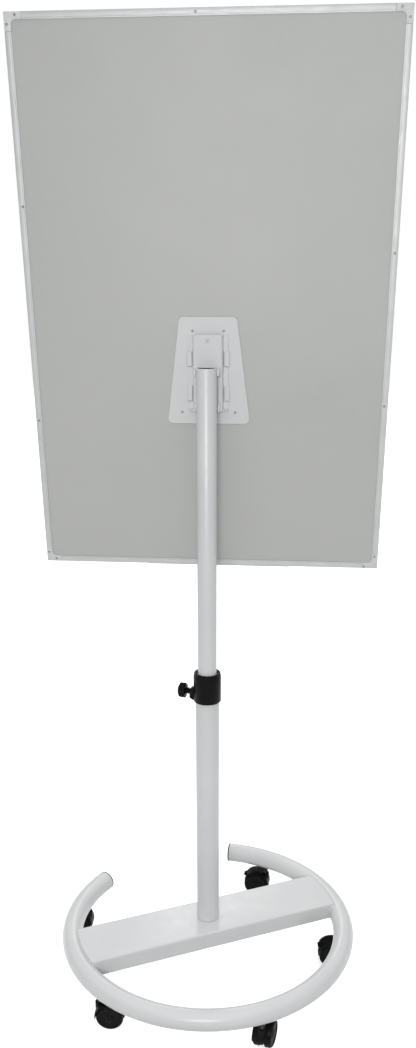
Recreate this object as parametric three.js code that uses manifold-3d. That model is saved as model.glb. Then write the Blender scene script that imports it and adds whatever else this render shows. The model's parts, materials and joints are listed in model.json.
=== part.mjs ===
// Mobile flip chart easel: portrait board on a telescopic mast over an open ring base with five castors.
// Millimetres, +Z up. The origin is on the mast's axis at floor level. The board's writing side faces -Y.
import * as THREE from 'three';
import { mergeVertices } from 'three/addons/utils/BufferGeometryUtils.js';
import Module from 'manifold-3d';

const wasm = await Module();
wasm.setup();

const DEG = Math.PI / 180;
const GAP = 0.3;

// Ring base: an open round tube, its gap facing the board's front side when the mast is not turned.
const BASE_YAW = 26.3;
const RING_R = 317;
const RING_Z = 100;
const RING_TUBE_R = 23;
const RING_WALL = 2;
const RING_FROM = -56.4;
const RING_TO = 238.6;
const RING_STEPS = 56;
const RING_SIDES = 11;
const PLUG_CAP = 3.5;
const PLUG_SPIGOT = 14;

// Crossbar: a folded sheet channel, open downwards, that carries the mast.
const BAR_TOP = 126;
const BAR_WIDTH = 128;
const BAR_SKIRT = 40;
const BAR_SHEET = 2.5;
const BAR_END_R = 304;

// Castors, by the angle of their stems round the ring and the way each one trails at rest.
const CASTERS = [
  { name: 'a', at: 220.4, trail: -32, brake: true },
  { name: 'b', at: 157.2, trail: -21, brake: true },
  { name: 'c', at: 20.8, trail: 154, brake: false },
  { name: 'd', at: 90, trail: 230, brake: false },
  { name: 'e', at: 318, trail: -25, brake: false },
];
const WHEEL_R = 30;
const WHEEL_IN = 5;
const WHEEL_OUT = 21;
const AXLE_R = 4;
const CASTER_OFFSET = 24;
const HOOD_R = 34;
const HOOD_WALL = 2.4;
const STEM_R = 5.5;
const PIN_R = 4;
const PIN_TOP = 57.5;
const STEM_TOP = 96;
const STEM_NUT_R = 10;

// Mast: the lower tube stands on the crossbar, the upper tube slides and turns in it.
const LOWER_R = 25.5;
const LOWER_WALL = 2.5;
const LOWER_BOTTOM = BAR_TOP + GAP;
const LOWER_TOP = 738;
const UPPER_R = 20;
const UPPER_WALL = 1.8;
const UPPER_BOTTOM = 385;
const UPPER_TOP = 1370.5;
const FOOT_PLUG_TOP = 147;
const BUSH_BOTTOM = 668;
const BUSH_LIP = 3;

// Height clamp: a collar over the lower tube's top, with a pad pressed inwards by a knob's screw.
const COLLAR_R = 29.5;
const COLLAR_BOTTOM = 680;
const COLLAR_RIM = 738.5;
const COLLAR_TOP = 745.5;
const CLAMP_Z = 698;
const CLAMP_ANGLE = -36;
const BOSS_REACH = 38;
const PAD_R = 8;
const SCREW_R = 4;
const KNOB_R = 17;
const KNOB_NECK_END = 46;
const KNOB_END = 64;

// Board: a portrait panel in an aluminium frame, its top leaning back over the mast.
const LEAN = 4;
const BOARD_Y = -36;
const BOARD_Z = 1461.4;
const BOARD_W = 700;
const BOARD_H = 1000;
const FRAME_DEPTH = 20;
const FRAME_WALL = 1.8;
const FLANGE = 9.5;
const LIP = 2.5;
const FLANGE_T = 1.7;
const CORNER = 30;
const CORNER_R = 2;
const PANEL_MARGIN = FRAME_WALL + 0.4;
const BACK_FACE = FLANGE_T + GAP;
const BACK_T = 0.5;
const FRONT_T = 0.5;

// Mounting plate and the head bracket that hooks under its four tabs, measured from the board's centre.
const PLATE_T = 3;
const PLATE_FACE = -BACK_FACE + GAP + PLATE_T;
const PLATE_TOP = 0;
const PLATE_BOTTOM = -202.5;
const PLATE_TOP_HALF = 55.5;
const PLATE_BOTTOM_HALF = 82;
const PLATE_CORNER = 9;
const BRACKET_TOP = -31;
const BRACKET_BOTTOM = -175;
const BRACKET_HALF = 39;
const BRACKET_WEB_HALF = 27.8;
const BRACKET_FOOT_HALF = 30;
const BRACKET_RISE = 16;
const BRACKET_T = 3;
const TABS = [[-90, -63], [-156, -128]];
const TAB_INSIDE = 31.7;
const NOTCH = 2.2;
const LOCK_Z = -40;

// Pen tray and pad holder on the writing side.
const TRAY_X = -16;
const TRAY_W = 300;
const TRAY_DEPTH = 65;
const TRAY_BOTTOM = -509;
const TRAY_T = 2;
const PAD_RAIL_HALF = 300;
const PAD_RAIL_Z = 470;
const PEG_X = 210;
const BAR_HINGE_Z = 492;
const BAR_HINGE_Y = -26.5;

const WHITE = { color: 0xe6e8ea, roughness: 0.38, metalness: 0.05 };
const BLACK = { color: 0x161616, roughness: 0.35, metalness: 0.0 };
const RUBBER = { color: 0x1c1c1c, roughness: 0.7, metalness: 0.0 };
const STEEL = { color: 0xb8bcc0, roughness: 0.35, metalness: 0.9 };
const ALUMINIUM = { color: 0xd8dadb, roughness: 0.42, metalness: 0.6 };
const GALVANISED = { color: 0xacb0af, roughness: 0.5, metalness: 0.5 };
const LACQUER = { color: 0xf4f5f5, roughness: 0.15, metalness: 0.0 };
const BOARDCORE = { color: 0xb79b72, roughness: 0.9, metalness: 0.0 };
const CORNER_GREY = { color: 0xdddfe0, roughness: 0.5, metalness: 0.0 };
const BUSH_GREY = { color: 0x2a2a2a, roughness: 0.5, metalness: 0.0 };

// ---------- solids ----------

function solid(geometry) {
  const plain = geometry.clone();
  plain.deleteAttribute('normal');
  plain.deleteAttribute('uv');
  const merged = mergeVertices(plain, 1e-4);
  return new wasm.Manifold(new wasm.Mesh({
    numProp: 3,
    vertProperties: new Float32Array(merged.attributes.position.array),
    triVerts: new Uint32Array(merged.index.array),
  }));
}

function shell(manifold) {
  const mesh = manifold.getMesh();
  const geometry = new THREE.BufferGeometry();
  geometry.setAttribute('position', new THREE.BufferAttribute(Float32Array.from(mesh.vertProperties), 3));
  geometry.setIndex(new THREE.BufferAttribute(Uint32Array.from(mesh.triVerts), 1));
  geometry.computeVertexNormals();
  return geometry;
}

function join(...pieces) {
  return pieces.reduce((sum, piece) => sum.add(piece));
}

function cut(body, ...tools) {
  return tools.reduce((rest, tool) => rest.subtract(tool), body);
}

// Box between two corners.
function block(x0, y0, z0, x1, y1, z1) {
  const geometry = new THREE.BoxGeometry(x1 - x0, y1 - y0, z1 - z0);
  geometry.translate((x0 + x1) / 2, (y0 + y1) / 2, (z0 + z1) / 2);
  return solid(geometry);
}

// Solid of revolution about Z from (radius, height) pairs that start and end on the axis.
function turned(profile, sides = 32) {
  const points = profile.map(([r, z]) => new THREE.Vector2(r, z));
  const geometry = new THREE.LatheGeometry(points, sides);
  geometry.rotateX(Math.PI / 2);
  return solid(geometry);
}

function rod(radius, z0, z1, sides = 32) {
  return turned([[0, z0], [radius, z0], [radius, z1], [0, z1]], sides);
}

function pipe(outer, inner, z0, z1, sides = 40) {
  return cut(rod(outer, z0, z1, sides), rod(inner, z0 - 1, z1 + 1, sides));
}

// The same piece along X or Y: Z turns to the named axis, and the piece moves to (x, y, z).
function along(piece, axis, x = 0, y = 0, z = 0) {
  const angles = { x: [0, 90, 0], y: [-90, 0, 0], z: [0, 0, 0] };
  return piece.rotate(angles[axis]).translate([x, y, z]);
}

function shapeOf(points) {
  return new THREE.Shape(points.map(([x, y]) => new THREE.Vector2(x, y)));
}

// Outline with rounded corners: each point may carry its own radius as a third value.
function rounded(points, radius = 0) {
  const shape = new THREE.Shape();
  points.forEach(([x, y, own], i) => {
    const r = own ?? radius;
    const corner = new THREE.Vector2(x, y);
    const before = points[(i + points.length - 1) % points.length];
    const after = points[(i + 1) % points.length];
    const inward = new THREE.Vector2(before[0] - x, before[1] - y).setLength(r);
    const outward = new THREE.Vector2(after[0] - x, after[1] - y).setLength(r);
    const start = corner.clone().add(inward);
    const end = corner.clone().add(outward);
    if (i === 0) shape.moveTo(start.x, start.y);
    else shape.lineTo(start.x, start.y);
    if (r > 0) shape.quadraticCurveTo(x, y, end.x, end.y);
  });
  shape.closePath();
  return shape;
}

// Extrusion of an XY outline along +Z.
function prism(shape, z0, z1, curve = 4) {
  const geometry = new THREE.ExtrudeGeometry(shape, {
    depth: z1 - z0,
    bevelEnabled: false,
    curveSegments: curve,
  });
  geometry.translate(0, 0, z0);
  return solid(geometry);
}

// Outline in (x, z) extruded through the depth y0..y1.
function slab(shape, y0, y1, curve = 4) {
  return prism(shape, -y1, -y0, curve).rotate([90, 0, 0]);
}

// Outline in (y, z) extruded along x0..x1.
function strip(shape, x0, x1, curve = 4) {
  return prism(shape, x0, x1, curve).rotate([90, 0, 90]);
}

function part(name, manifold, look, group) {
  const mesh = new THREE.Mesh(shell(manifold), new THREE.MeshStandardMaterial(look));
  mesh.name = name;
  group.add(mesh);
  return mesh;
}

// ---------- base ----------

class Arc extends THREE.Curve {
  constructor(radius, from, to, height) {
    super();
    Object.assign(this, { radius, from, to, height });
  }

  getPoint(t, target = new THREE.Vector3()) {
    const angle = (this.from + (this.to - this.from) * t) * DEG;
    return target.set(this.radius * Math.cos(angle), this.radius * Math.sin(angle), this.height);
  }
}

function onRing(piece, angle) {
  return piece.translate([RING_R, 0, 0]).rotate([0, 0, angle]);
}

function ringTube() {
  const section = new THREE.Shape();
  section.absarc(0, 0, RING_TUBE_R, 0, 2 * Math.PI, false);
  const bore = new THREE.Path();
  bore.absarc(0, 0, RING_TUBE_R - RING_WALL, 0, 2 * Math.PI, true);
  section.holes.push(bore);
  const geometry = new THREE.ExtrudeGeometry(section, {
    steps: RING_STEPS,
    curveSegments: RING_SIDES,
    extrudePath: new Arc(RING_R, RING_FROM, RING_TO, RING_Z),
  });
  let ring = solid(geometry);
  for (const caster of CASTERS) {
    const floor = RING_Z - RING_TUBE_R;
    const nut = rod(STEM_NUT_R, floor + 0.9, floor + 12, 16);
    const hole = rod(STEM_R + GAP, floor - 2, STEM_TOP + 4, 16);
    ring = cut(join(ring, onRing(nut, caster.at)), onRing(hole, caster.at));
  }
  return ring;
}

// End plug: a spigot in the tube's bore under a cap, pointing along +Z before it is placed.
function endPlug() {
  const spigot = RING_TUBE_R - RING_WALL - 1.2;
  return turned([
    [0, -PLUG_SPIGOT],
    [spigot - 1, -PLUG_SPIGOT],
    [spigot, -PLUG_SPIGOT + 1],
    [spigot, GAP],
    [RING_TUBE_R, GAP],
    [RING_TUBE_R, PLUG_CAP - 1],
    [RING_TUBE_R - 1.2, PLUG_CAP],
    [0, PLUG_CAP],
  ], 28);
}

function crossbar() {
  const half = BAR_WIDTH / 2;
  const low = BAR_TOP - BAR_SKIRT;
  const inner = half - BAR_SHEET;
  const section = rounded([
    [-half, low, 0.4],
    [-inner, low, 0.4],
    [-inner, BAR_TOP - BAR_SHEET, 1.5],
    [inner, BAR_TOP - BAR_SHEET, 1.5],
    [inner, low, 0.4],
    [half, low, 0.4],
    [half, BAR_TOP, 4],
    [-half, BAR_TOP, 4],
  ]);
  const channel = strip(section, -BAR_END_R, BAR_END_R, 4);
  const disc = rod(BAR_END_R, 0, BAR_TOP + 10, 120);
  const clear = new THREE.TorusGeometry(RING_R, RING_TUBE_R + 0.8, 24, 120);
  clear.translate(0, 0, RING_Z);
  const boltHole = rod(5.5, BAR_TOP - 10, BAR_TOP + 10, 24);
  return cut(channel.intersect(disc), solid(clear), boltHole);
}

function casterStem() {
  const under = RING_Z - RING_TUBE_R;
  return turned([
    [0, 46],
    [PIN_R, 46],
    [PIN_R, PIN_TOP],
    [STEM_R, PIN_TOP],
    [STEM_R, under - 5],
    [STEM_R + 3, under - 5],
    [STEM_R + 3, under - GAP],
    [STEM_R, under - GAP],
    [STEM_R, STEM_TOP],
    [0, STEM_TOP],
  ], 16);
}

// Barrel about the wheels' axle: profile pairs are (radius, distance from the middle).
function barrel(radius, shoulder, halfWidth, sides) {
  const edge = radius - 4;
  const profile = [
    [0, -halfWidth],
    [edge, -halfWidth],
    [radius, -shoulder],
    [radius, shoulder],
    [edge, halfWidth],
    [0, halfWidth],
  ];
  return along(turned(profile, sides), 'y', CASTER_OFFSET, 0, WHEEL_R);
}

function casterHood(brake) {
  const hub = [CASTER_OFFSET, WHEEL_R];
  const sector = [hub];
  for (let angle = 34; angle <= 184; angle += 30) {
    sector.push([hub[0] + 80 * Math.cos(angle * DEG), hub[1] + 80 * Math.sin(angle * DEG)]);
  }
  const outer = barrel(HOOD_R, 12, 22.5, 30);
  const inner = barrel(HOOD_R - HOOD_WALL, 14, 24, 30);
  const cover = cut(outer, inner).intersect(slab(shapeOf(sector), -40, 40));
  const web = along(rod(HOOD_R - 1, -4, 4, 30), 'y', CASTER_OFFSET, 0, WHEEL_R)
    .intersect(block(-40, -10, WHEEL_R - 9, 80, 10, 90));
  const nose = rod(9, 40, 60.5, 20);
  const stemHole = join(
    rod(PIN_R + 0.2, 45.7, PIN_TOP, 16),
    rod(STEM_R + GAP, PIN_TOP - GAP, 70, 16),
  );
  const axleHole = along(rod(AXLE_R + 0.2, -30, 30, 16), 'y', CASTER_OFFSET, 0, WHEEL_R);
  const wells = [-1, 1].map((side) => along(
    rod(WHEEL_R + 1.2, Math.min(side * 4.4, side * 30), Math.max(side * 4.4, side * 30), 30),
    'y', CASTER_OFFSET, 0, WHEEL_R,
  ));
  const hood = cut(join(cover, web, nose), stemHole, axleHole, ...wells);
  return brake ? cut(hood, leverSlot()) : hood;
}

function casterWheel(side) {
  const profile = [
    [0, WHEEL_IN],
    [WHEEL_R - 2, WHEEL_IN],
    [WHEEL_R, WHEEL_IN + 2],
    [WHEEL_R, WHEEL_OUT - 4],
    [WHEEL_R - 3, WHEEL_OUT],
    [WHEEL_R - 7, WHEEL_OUT],
    [WHEEL_R - 9, WHEEL_OUT - 1.5],
    [0, WHEEL_OUT - 1.5],
  ];
  const bore = rod(AXLE_R + GAP, WHEEL_IN - 2, WHEEL_OUT - 3, 16);
  const wheel = cut(turned(profile, 28), bore);
  return along(side > 0 ? wheel : wheel.rotate([180, 0, 0]), 'y', CASTER_OFFSET, 0, WHEEL_R);
}

function casterAxle() {
  const half = WHEEL_OUT - 3 - GAP;
  return along(rod(AXLE_R, -half, half, 16), 'y', CASTER_OFFSET, 0, WHEEL_R);
}

// Point at a radius and angle about the wheels' axle, in the castor's own (x, z) plane.
function aboutAxle(radius, angle) {
  return [CASTER_OFFSET + radius * Math.cos(angle * DEG), WHEEL_R + radius * Math.sin(angle * DEG)];
}

// Brake lever: a short pedal set into the hood's trailing end, over the treads of both wheels.
function brakeLever() {
  const outline = [
    aboutAxle(31.8, 50),
    aboutAxle(31.8, 42),
    aboutAxle(31.8, 33),
    aboutAxle(39.5, 31.5),
    aboutAxle(40, 35.5),
    aboutAxle(35.5, 39),
    aboutAxle(34.6, 50),
  ];
  return slab(shapeOf(outline.reverse()), -8, 8);
}

// The slot in the hood and its web that the lever sits in.
function leverSlot() {
  const outline = [aboutAxle(29, 26), aboutAxle(48, 28), aboutAxle(48, 51), aboutAxle(29, 51.5)];
  return slab(shapeOf(outline), -8.4, 8.4);
}

const easel = new THREE.Group();
const base = new THREE.Group();
base.rotation.z = BASE_YAW * DEG;
easel.add(base);

part('base_ring', ringTube(), WHITE, base);
for (const [name, angle, turn] of [['ring_plug_right', RING_FROM, 90], ['ring_plug_left', RING_TO, -90]]) {
  const plug = endPlug().rotate([turn, 0, 0]).translate([RING_R, 0, RING_Z]).rotate([0, 0, angle]);
  part(name, plug, BLACK, base);
}
part('base_crossbar', crossbar(), WHITE, base);

for (const caster of CASTERS) {
  const place = new THREE.Group();
  place.position.set(RING_R * Math.cos(caster.at * DEG), RING_R * Math.sin(caster.at * DEG), 0);
  place.rotation.z = caster.trail * DEG;
  base.add(place);
  const name = `caster_${caster.name}`;
  part(`${name}_stem`, casterStem(), STEEL, place);
  part(`${name}_hood`, casterHood(caster.brake), BLACK, place);
  part(`${name}_axle`, casterAxle(), STEEL, place);
  part(`${name}_wheel_left`, casterWheel(1), RUBBER, place);
  part(`${name}_wheel_right`, casterWheel(-1), RUBBER, place);
  if (caster.brake) part(`${name}_brake_lever`, brakeLever(), BLACK, place);
}

// ---------- mast ----------

const LOWER_BORE = LOWER_R - LOWER_WALL;

// A piece that points along the knob's axis: its own Z runs outwards from the mast.
function onClamp(piece) {
  return along(piece, 'x', 0, 0, CLAMP_Z).rotate([0, 0, CLAMP_ANGLE]);
}

function clampCollar() {
  const body = turned([
    [0, COLLAR_BOTTOM],
    [COLLAR_R - 1, COLLAR_BOTTOM],
    [COLLAR_R, COLLAR_BOTTOM + 1],
    [COLLAR_R, COLLAR_RIM - 1],
    [COLLAR_R - 1, COLLAR_RIM],
    [COLLAR_R - 1, COLLAR_TOP - 2],
    [COLLAR_R - 3, COLLAR_TOP],
    [0, COLLAR_TOP],
  ], 36);
  const boss = slab(rounded([
    [22, COLLAR_BOTTOM + 0.6],
    [COLLAR_R + 0.5, COLLAR_BOTTOM + 0.6],
    [BOSS_REACH, CLAMP_Z - 13],
    [BOSS_REACH, CLAMP_Z + 6.5],
    [COLLAR_R + 2, CLAMP_Z + 10],
    [22, CLAMP_Z + 10],
  ], 1), -9.5, 9.5).rotate([0, 0, CLAMP_ANGLE]);
  const bore = rod(LOWER_R + GAP, COLLAR_BOTTOM - 2, LOWER_TOP + BUSH_LIP + 2 * GAP, 36);
  const mouth = turned([
    [0, LOWER_TOP],
    [UPPER_R + 0.6, LOWER_TOP],
    [UPPER_R + 0.6, COLLAR_TOP - 4],
    [UPPER_R + 4.5, COLLAR_TOP + 0.5],
    [0, COLLAR_TOP + 0.5],
  ], 36);
  const pocket = onClamp(rod(PAD_R + 0.5, 20, LOWER_R + 2.2, 24));
  const thread = onClamp(rod(SCREW_R + 0.25, 20, BOSS_REACH + 5, 24));
  return cut(join(body, boss), bore, mouth, pocket, thread);
}

function clampPad() {
  const pad = onClamp(rod(PAD_R, 10, LOWER_R - 1, 24));
  return cut(pad, rod(UPPER_R + GAP, CLAMP_Z - 20, CLAMP_Z + 20, 64));
}

function clampKnob() {
  const lobes = 6;
  const outline = [];
  for (let i = 0; i < lobes * 6; i += 1) {
    const angle = (i / (lobes * 6)) * 2 * Math.PI;
    const radius = KNOB_R - 2.2 * (0.5 - 0.5 * Math.cos(lobes * angle));
    outline.push([radius * Math.cos(angle), radius * Math.sin(angle)]);
  }
  const geometry = new THREE.ExtrudeGeometry(shapeOf(outline), {
    depth: KNOB_END - KNOB_NECK_END - 7,
    bevelEnabled: true,
    bevelThickness: 2.4,
    bevelSize: 2.4,
    bevelOffset: -2.4,
    bevelSegments: 1,
  });
  geometry.translate(0, 0, KNOB_NECK_END + 3.5);
  const neck = turned([
    [0, LOWER_R - 1 + GAP],
    [SCREW_R, LOWER_R - 1 + GAP],
    [SCREW_R, BOSS_REACH + 2.2],
    [7, BOSS_REACH + 2.2],
    [7.6, BOSS_REACH + 3.4],
    [6, KNOB_NECK_END - 2],
    [11, KNOB_NECK_END + 3],
    [11, KNOB_END - 3],
    [9.6, KNOB_END],
    [0, KNOB_END],
  ], 24);
  return onClamp(join(solid(geometry), neck));
}

const lowerTube = cut(
  pipe(LOWER_R, LOWER_BORE, LOWER_BOTTOM, LOWER_TOP, 36),
  onClamp(rod(PAD_R + 0.5, 10, LOWER_R + 10, 24)),
);
part('lower_mast_tube', lowerTube, WHITE, base);

const footPlug = cut(
  rod(LOWER_BORE - GAP, LOWER_BOTTOM + GAP, FOOT_PLUG_TOP, 40),
  rod(5 + GAP, 100, FOOT_PLUG_TOP + 5, 24),
);
part('mast_foot_plug', footPlug, STEEL, base);

const mastBolt = join(
  rod(5, BAR_TOP - BAR_SHEET - 4, FOOT_PLUG_TOP - 2, 24),
  rod(15, BAR_TOP - BAR_SHEET - GAP - 2.5, BAR_TOP - BAR_SHEET - GAP, 32),
  rod(9.2, BAR_TOP - BAR_SHEET - 9.5, BAR_TOP - BAR_SHEET - 2, 6),
);
part('mast_bolt', mastBolt, STEEL, base);

const bush = cut(
  join(
    rod(LOWER_BORE - GAP, BUSH_BOTTOM, LOWER_TOP + 2, 36),
    rod(LOWER_R - GAP, LOWER_TOP + GAP, LOWER_TOP + BUSH_LIP, 36),
  ),
  rod(UPPER_R + 0.4, BUSH_BOTTOM - 2, LOWER_TOP + 10, 36),
  onClamp(rod(PAD_R + GAP, 10, LOWER_R + 10, 24)),
);
part('mast_bush', bush, BUSH_GREY, base);
part('clamp_collar', clampCollar(), BLACK, base);
part('clamp_pad', clampPad(), BUSH_GREY, base);
part('clamp_knob', clampKnob(), BLACK, base);

const upper = new THREE.Group();
easel.add(upper);
const glide = turned([
  [0, UPPER_BOTTOM - 14],
  [LOWER_BORE - 1.4, UPPER_BOTTOM - 14],
  [LOWER_BORE - 0.4, UPPER_BOTTOM - 12.5],
  [LOWER_BORE - 0.4, UPPER_BOTTOM - GAP],
  [UPPER_R - UPPER_WALL - 0.3, UPPER_BOTTOM - GAP],
  [UPPER_R - UPPER_WALL - 0.3, UPPER_BOTTOM + 16],
  [0, UPPER_BOTTOM + 16],
], 30);
part('mast_glide', glide, BLACK, upper);
part('upper_mast_tube', pipe(UPPER_R, UPPER_R - UPPER_WALL, UPPER_BOTTOM, UPPER_TOP, 36), WHITE, upper);

// ---------- board ----------

const board = new THREE.Group();
board.position.set(0, BOARD_Y, BOARD_Z);
board.rotation.x = -LEAN * DEG;
upper.add(board);

const HALF_W = BOARD_W / 2;
const HALF_H = BOARD_H / 2;

// The mast's axis as seen from the board: where a cylinder along it runs.
function mastClearance(radius) {
  return rod(radius, 900, 1700, 64)
    .translate([0, -BOARD_Y, -BOARD_Z])
    .rotate([LEAN, 0, 0]);
}

// Frame section in (inward, depth) with the outer wall at inward = 0 and the back face at depth = 0.
const RAIL = [
  [0, 0],
  [FLANGE, 0],
  [FLANGE, -0.7],
  [FLANGE + LIP, -0.7],
  [FLANGE + LIP, -FLANGE_T],
  [FRAME_WALL, -FLANGE_T],
  [FRAME_WALL, -FRAME_DEPTH + FLANGE_T],
  [FLANGE + LIP, -FRAME_DEPTH + FLANGE_T],
  [FLANGE + LIP, -FRAME_DEPTH],
  [0, -FRAME_DEPTH],
];

// A rail of that section, its outer wall at `out`, running from -reach to reach.
function rail(out, reach, upright, sign) {
  const outline = RAIL.map(([inward, depth]) => [depth, sign * (out - inward)]);
  if (sign < 0) outline.reverse();
  const bar = strip(shapeOf(outline), -reach, reach);
  return upright ? bar.rotate([0, 90, 0]) : bar;
}

function rightAngle(arm, width, outer, inner) {
  return rounded([
    [HALF_W, HALF_H, outer],
    [HALF_W - arm, HALF_H, 0],
    [HALF_W - arm, HALF_H - width, 0],
    [HALF_W - width, HALF_H - width, inner],
    [HALF_W - width, HALF_H - arm, 0],
    [HALF_W, HALF_H - arm, 0],
  ]);
}

// Corner piece for the top +X corner; the others are mirror images.
function corner(mirrorX, mirrorZ) {
  const wall = slab(rightAngle(CORNER, FRAME_WALL, CORNER_R, CORNER_R - FRAME_WALL), -FRAME_DEPTH, 0);
  const face = rightAngle(CORNER, FLANGE + LIP, CORNER_R, 7);
  const back = slab(face, -FLANGE_T, 0);
  const front = slab(face, -FRAME_DEPTH, -FRAME_DEPTH + FLANGE_T);
  let piece = join(wall, back, front);
  if (mirrorX) piece = piece.mirror([1, 0, 0]);
  if (mirrorZ) piece = piece.mirror([0, 0, 1]);
  return piece;
}

function panel(y0, y1) {
  const w = HALF_W - PANEL_MARGIN;
  const h = HALF_H - PANEL_MARGIN;
  return slab(rounded([[-w, -h], [w, -h], [w, h], [-w, h]], CORNER_R), y0, y1);
}

const backInner = -BACK_FACE - BACK_T - GAP;
const frontInner = -FRAME_DEPTH + FLANGE_T + GAP + FRONT_T + GAP;
part('back_panel', panel(-BACK_FACE - BACK_T, -BACK_FACE), GALVANISED, board);
part('board_core', panel(frontInner, backInner), BOARDCORE, board);
part('writing_surface', panel(frontInner - GAP - FRONT_T, frontInner - GAP), LACQUER, board);

part('frame_rail_top', rail(HALF_H, HALF_W - CORNER - GAP, false, 1), ALUMINIUM, board);
part('frame_rail_bottom', rail(HALF_H, HALF_W - CORNER - GAP, false, -1), ALUMINIUM, board);
part('frame_rail_right', rail(HALF_W, HALF_H - CORNER - GAP, true, 1), ALUMINIUM, board);
part('frame_rail_left', rail(HALF_W, HALF_H - CORNER - GAP, true, -1), ALUMINIUM, board);
part('frame_corner_top_right', corner(false, false), CORNER_GREY, board);
part('frame_corner_top_left', corner(true, false), CORNER_GREY, board);
part('frame_corner_bottom_right', corner(false, true), CORNER_GREY, board);
part('frame_corner_bottom_left', corner(true, true), CORNER_GREY, board);

// Mounting plate: a tapered plate with four lanced tabs standing off its face.
function mountingPlate() {
  const outline = rounded([
    [-PLATE_BOTTOM_HALF, PLATE_BOTTOM],
    [PLATE_BOTTOM_HALF, PLATE_BOTTOM],
    [PLATE_TOP_HALF, PLATE_TOP],
    [-PLATE_TOP_HALF, PLATE_TOP],
  ], PLATE_CORNER);
  let plate = slab(outline, PLATE_FACE - PLATE_T, PLATE_FACE, 6);
  const under = PLATE_FACE + GAP + BRACKET_T + GAP;
  for (const [z0, z1] of TABS) {
    for (const side of [-1, 1]) {
      const near = side * TAB_INSIDE;
      const wall = side * (BRACKET_HALF + 0.5);
      const far = side * (BRACKET_HALF + 3);
      const cover = block(Math.min(near, far), under, z0, Math.max(near, far), under + 2.2, z1);
      const riser = block(Math.min(wall, far), PLATE_FACE - 1, z0, Math.max(wall, far), under + 2.2, z1);
      plate = join(plate, cover, riser);
    }
  }
  const lockHole = along(rod(3, -20, 20, 24), 'y', 0, 0, LOCK_Z);
  return cut(plate, lockHole);
}

// Head bracket: a raised channel with notched flanges, two cheeks beside the tube and a shelf below.
function headBracket() {
  const foot = PLATE_FACE + GAP;
  const web = BRACKET_WEB_HALF;
  const base = BRACKET_FOOT_HALF;
  const rise = BRACKET_RISE;
  const t = BRACKET_T;
  const section = shapeOf([
    [-BRACKET_HALF, foot],
    [-base + t, foot],
    [-web + t, rise - t],
    [web - t, rise - t],
    [base - t, foot],
    [BRACKET_HALF, foot],
    [BRACKET_HALF, foot + t],
    [base, foot + t],
    [web, rise],
    [-web, rise],
    [-base, foot + t],
    [-BRACKET_HALF, foot + t],
  ]);
  const channel = prism(section, BRACKET_BOTTOM, BRACKET_TOP);
  const notches = TABS.flatMap(([z0]) => [-1, 1].map((side) => {
    const inside = side * (base + 0.8);
    const outside = side * (BRACKET_HALF + 1);
    const [x0, x1] = [Math.min(inside, outside), Math.max(inside, outside)];
    return block(x0, foot - 1, z0 - NOTCH, x1, foot + t + 1, z0);
  }));
  const cheeks = [-1, 1].map((side) => strip(rounded([
    [rise - 1, -90, 0],
    [rise - 1, -173, 0],
    [34, -173, 2],
    [34, -160, 2],
    [22, -157, 2],
    [22, -106, 2],
    [44, -103, 2],
    [44, -92, 3],
    [30, -90, 3],
  ]), side * 22.4 - 1.9, side * 22.4 + 1.9));
  const shelf = prism(rounded([
    [-BRACKET_HALF, foot],
    [BRACKET_HALF, foot],
    [BRACKET_HALF - 1, 9, 4],
    [30, 16, 6],
    [24.5, 19, 2],
    [20, 24, 2],
    [-20, 24, 2],
    [-24.5, 19, 2],
    [-30, 16, 6],
    [-BRACKET_HALF + 1, 9, 4],
  ]), BRACKET_BOTTOM - 0.01, BRACKET_BOTTOM + t);
  const lockHole = along(rod(3, 0, 30, 24), 'y', 0, 0, LOCK_Z);
  const body = join(channel, ...cheeks, shelf);
  return cut(body, mastClearance(UPPER_R + GAP), lockHole, ...notches);
}

function lockScrew() {
  const head = BRACKET_RISE + GAP;
  return along(turned([
    [0, -1],
    [2.5, -1],
    [2.5, head],
    [4.6, head],
    [4.4, head + 1],
    [3, head + 2],
    [0, head + 2.3],
  ], 24), 'y', 0, 0, LOCK_Z);
}

part('mounting_plate', mountingPlate(), WHITE, board);
part('head_bracket', headBracket(), WHITE, board);
part('lock_screw', lockScrew(), STEEL, board);

// Pen tray: a shallow channel in front of the bottom rail, closed at both ends.
function penTray() {
  const back = -FRAME_DEPTH - GAP;
  const front = back - TRAY_DEPTH;
  const t = TRAY_T;
  const section = rounded([
    [back, TRAY_BOTTOM, 1],
    [back, TRAY_BOTTOM + 30, 0.5],
    [back - t, TRAY_BOTTOM + 30, 0.5],
    [back - t, TRAY_BOTTOM + t, 1],
    [front + t, TRAY_BOTTOM + t, 3],
    [front + t, TRAY_BOTTOM + 15, 0.5],
    [front, TRAY_BOTTOM + 15, 0.5],
    [front, TRAY_BOTTOM, 4],
  ].reverse());
  const ends = [-1, 1].map((side) => {
    const x = TRAY_X + side * (TRAY_W / 2 - t / 2);
    return strip(rounded([
      [back, TRAY_BOTTOM + 0.5],
      [front + 1, TRAY_BOTTOM + 0.5],
      [front + 1, TRAY_BOTTOM + 14.5],
      [back, TRAY_BOTTOM + 14.5],
    ], 0.4), x - t / 2, x + t / 2);
  });
  return join(strip(section, TRAY_X - TRAY_W / 2, TRAY_X + TRAY_W / 2), ...ends);
}

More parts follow.
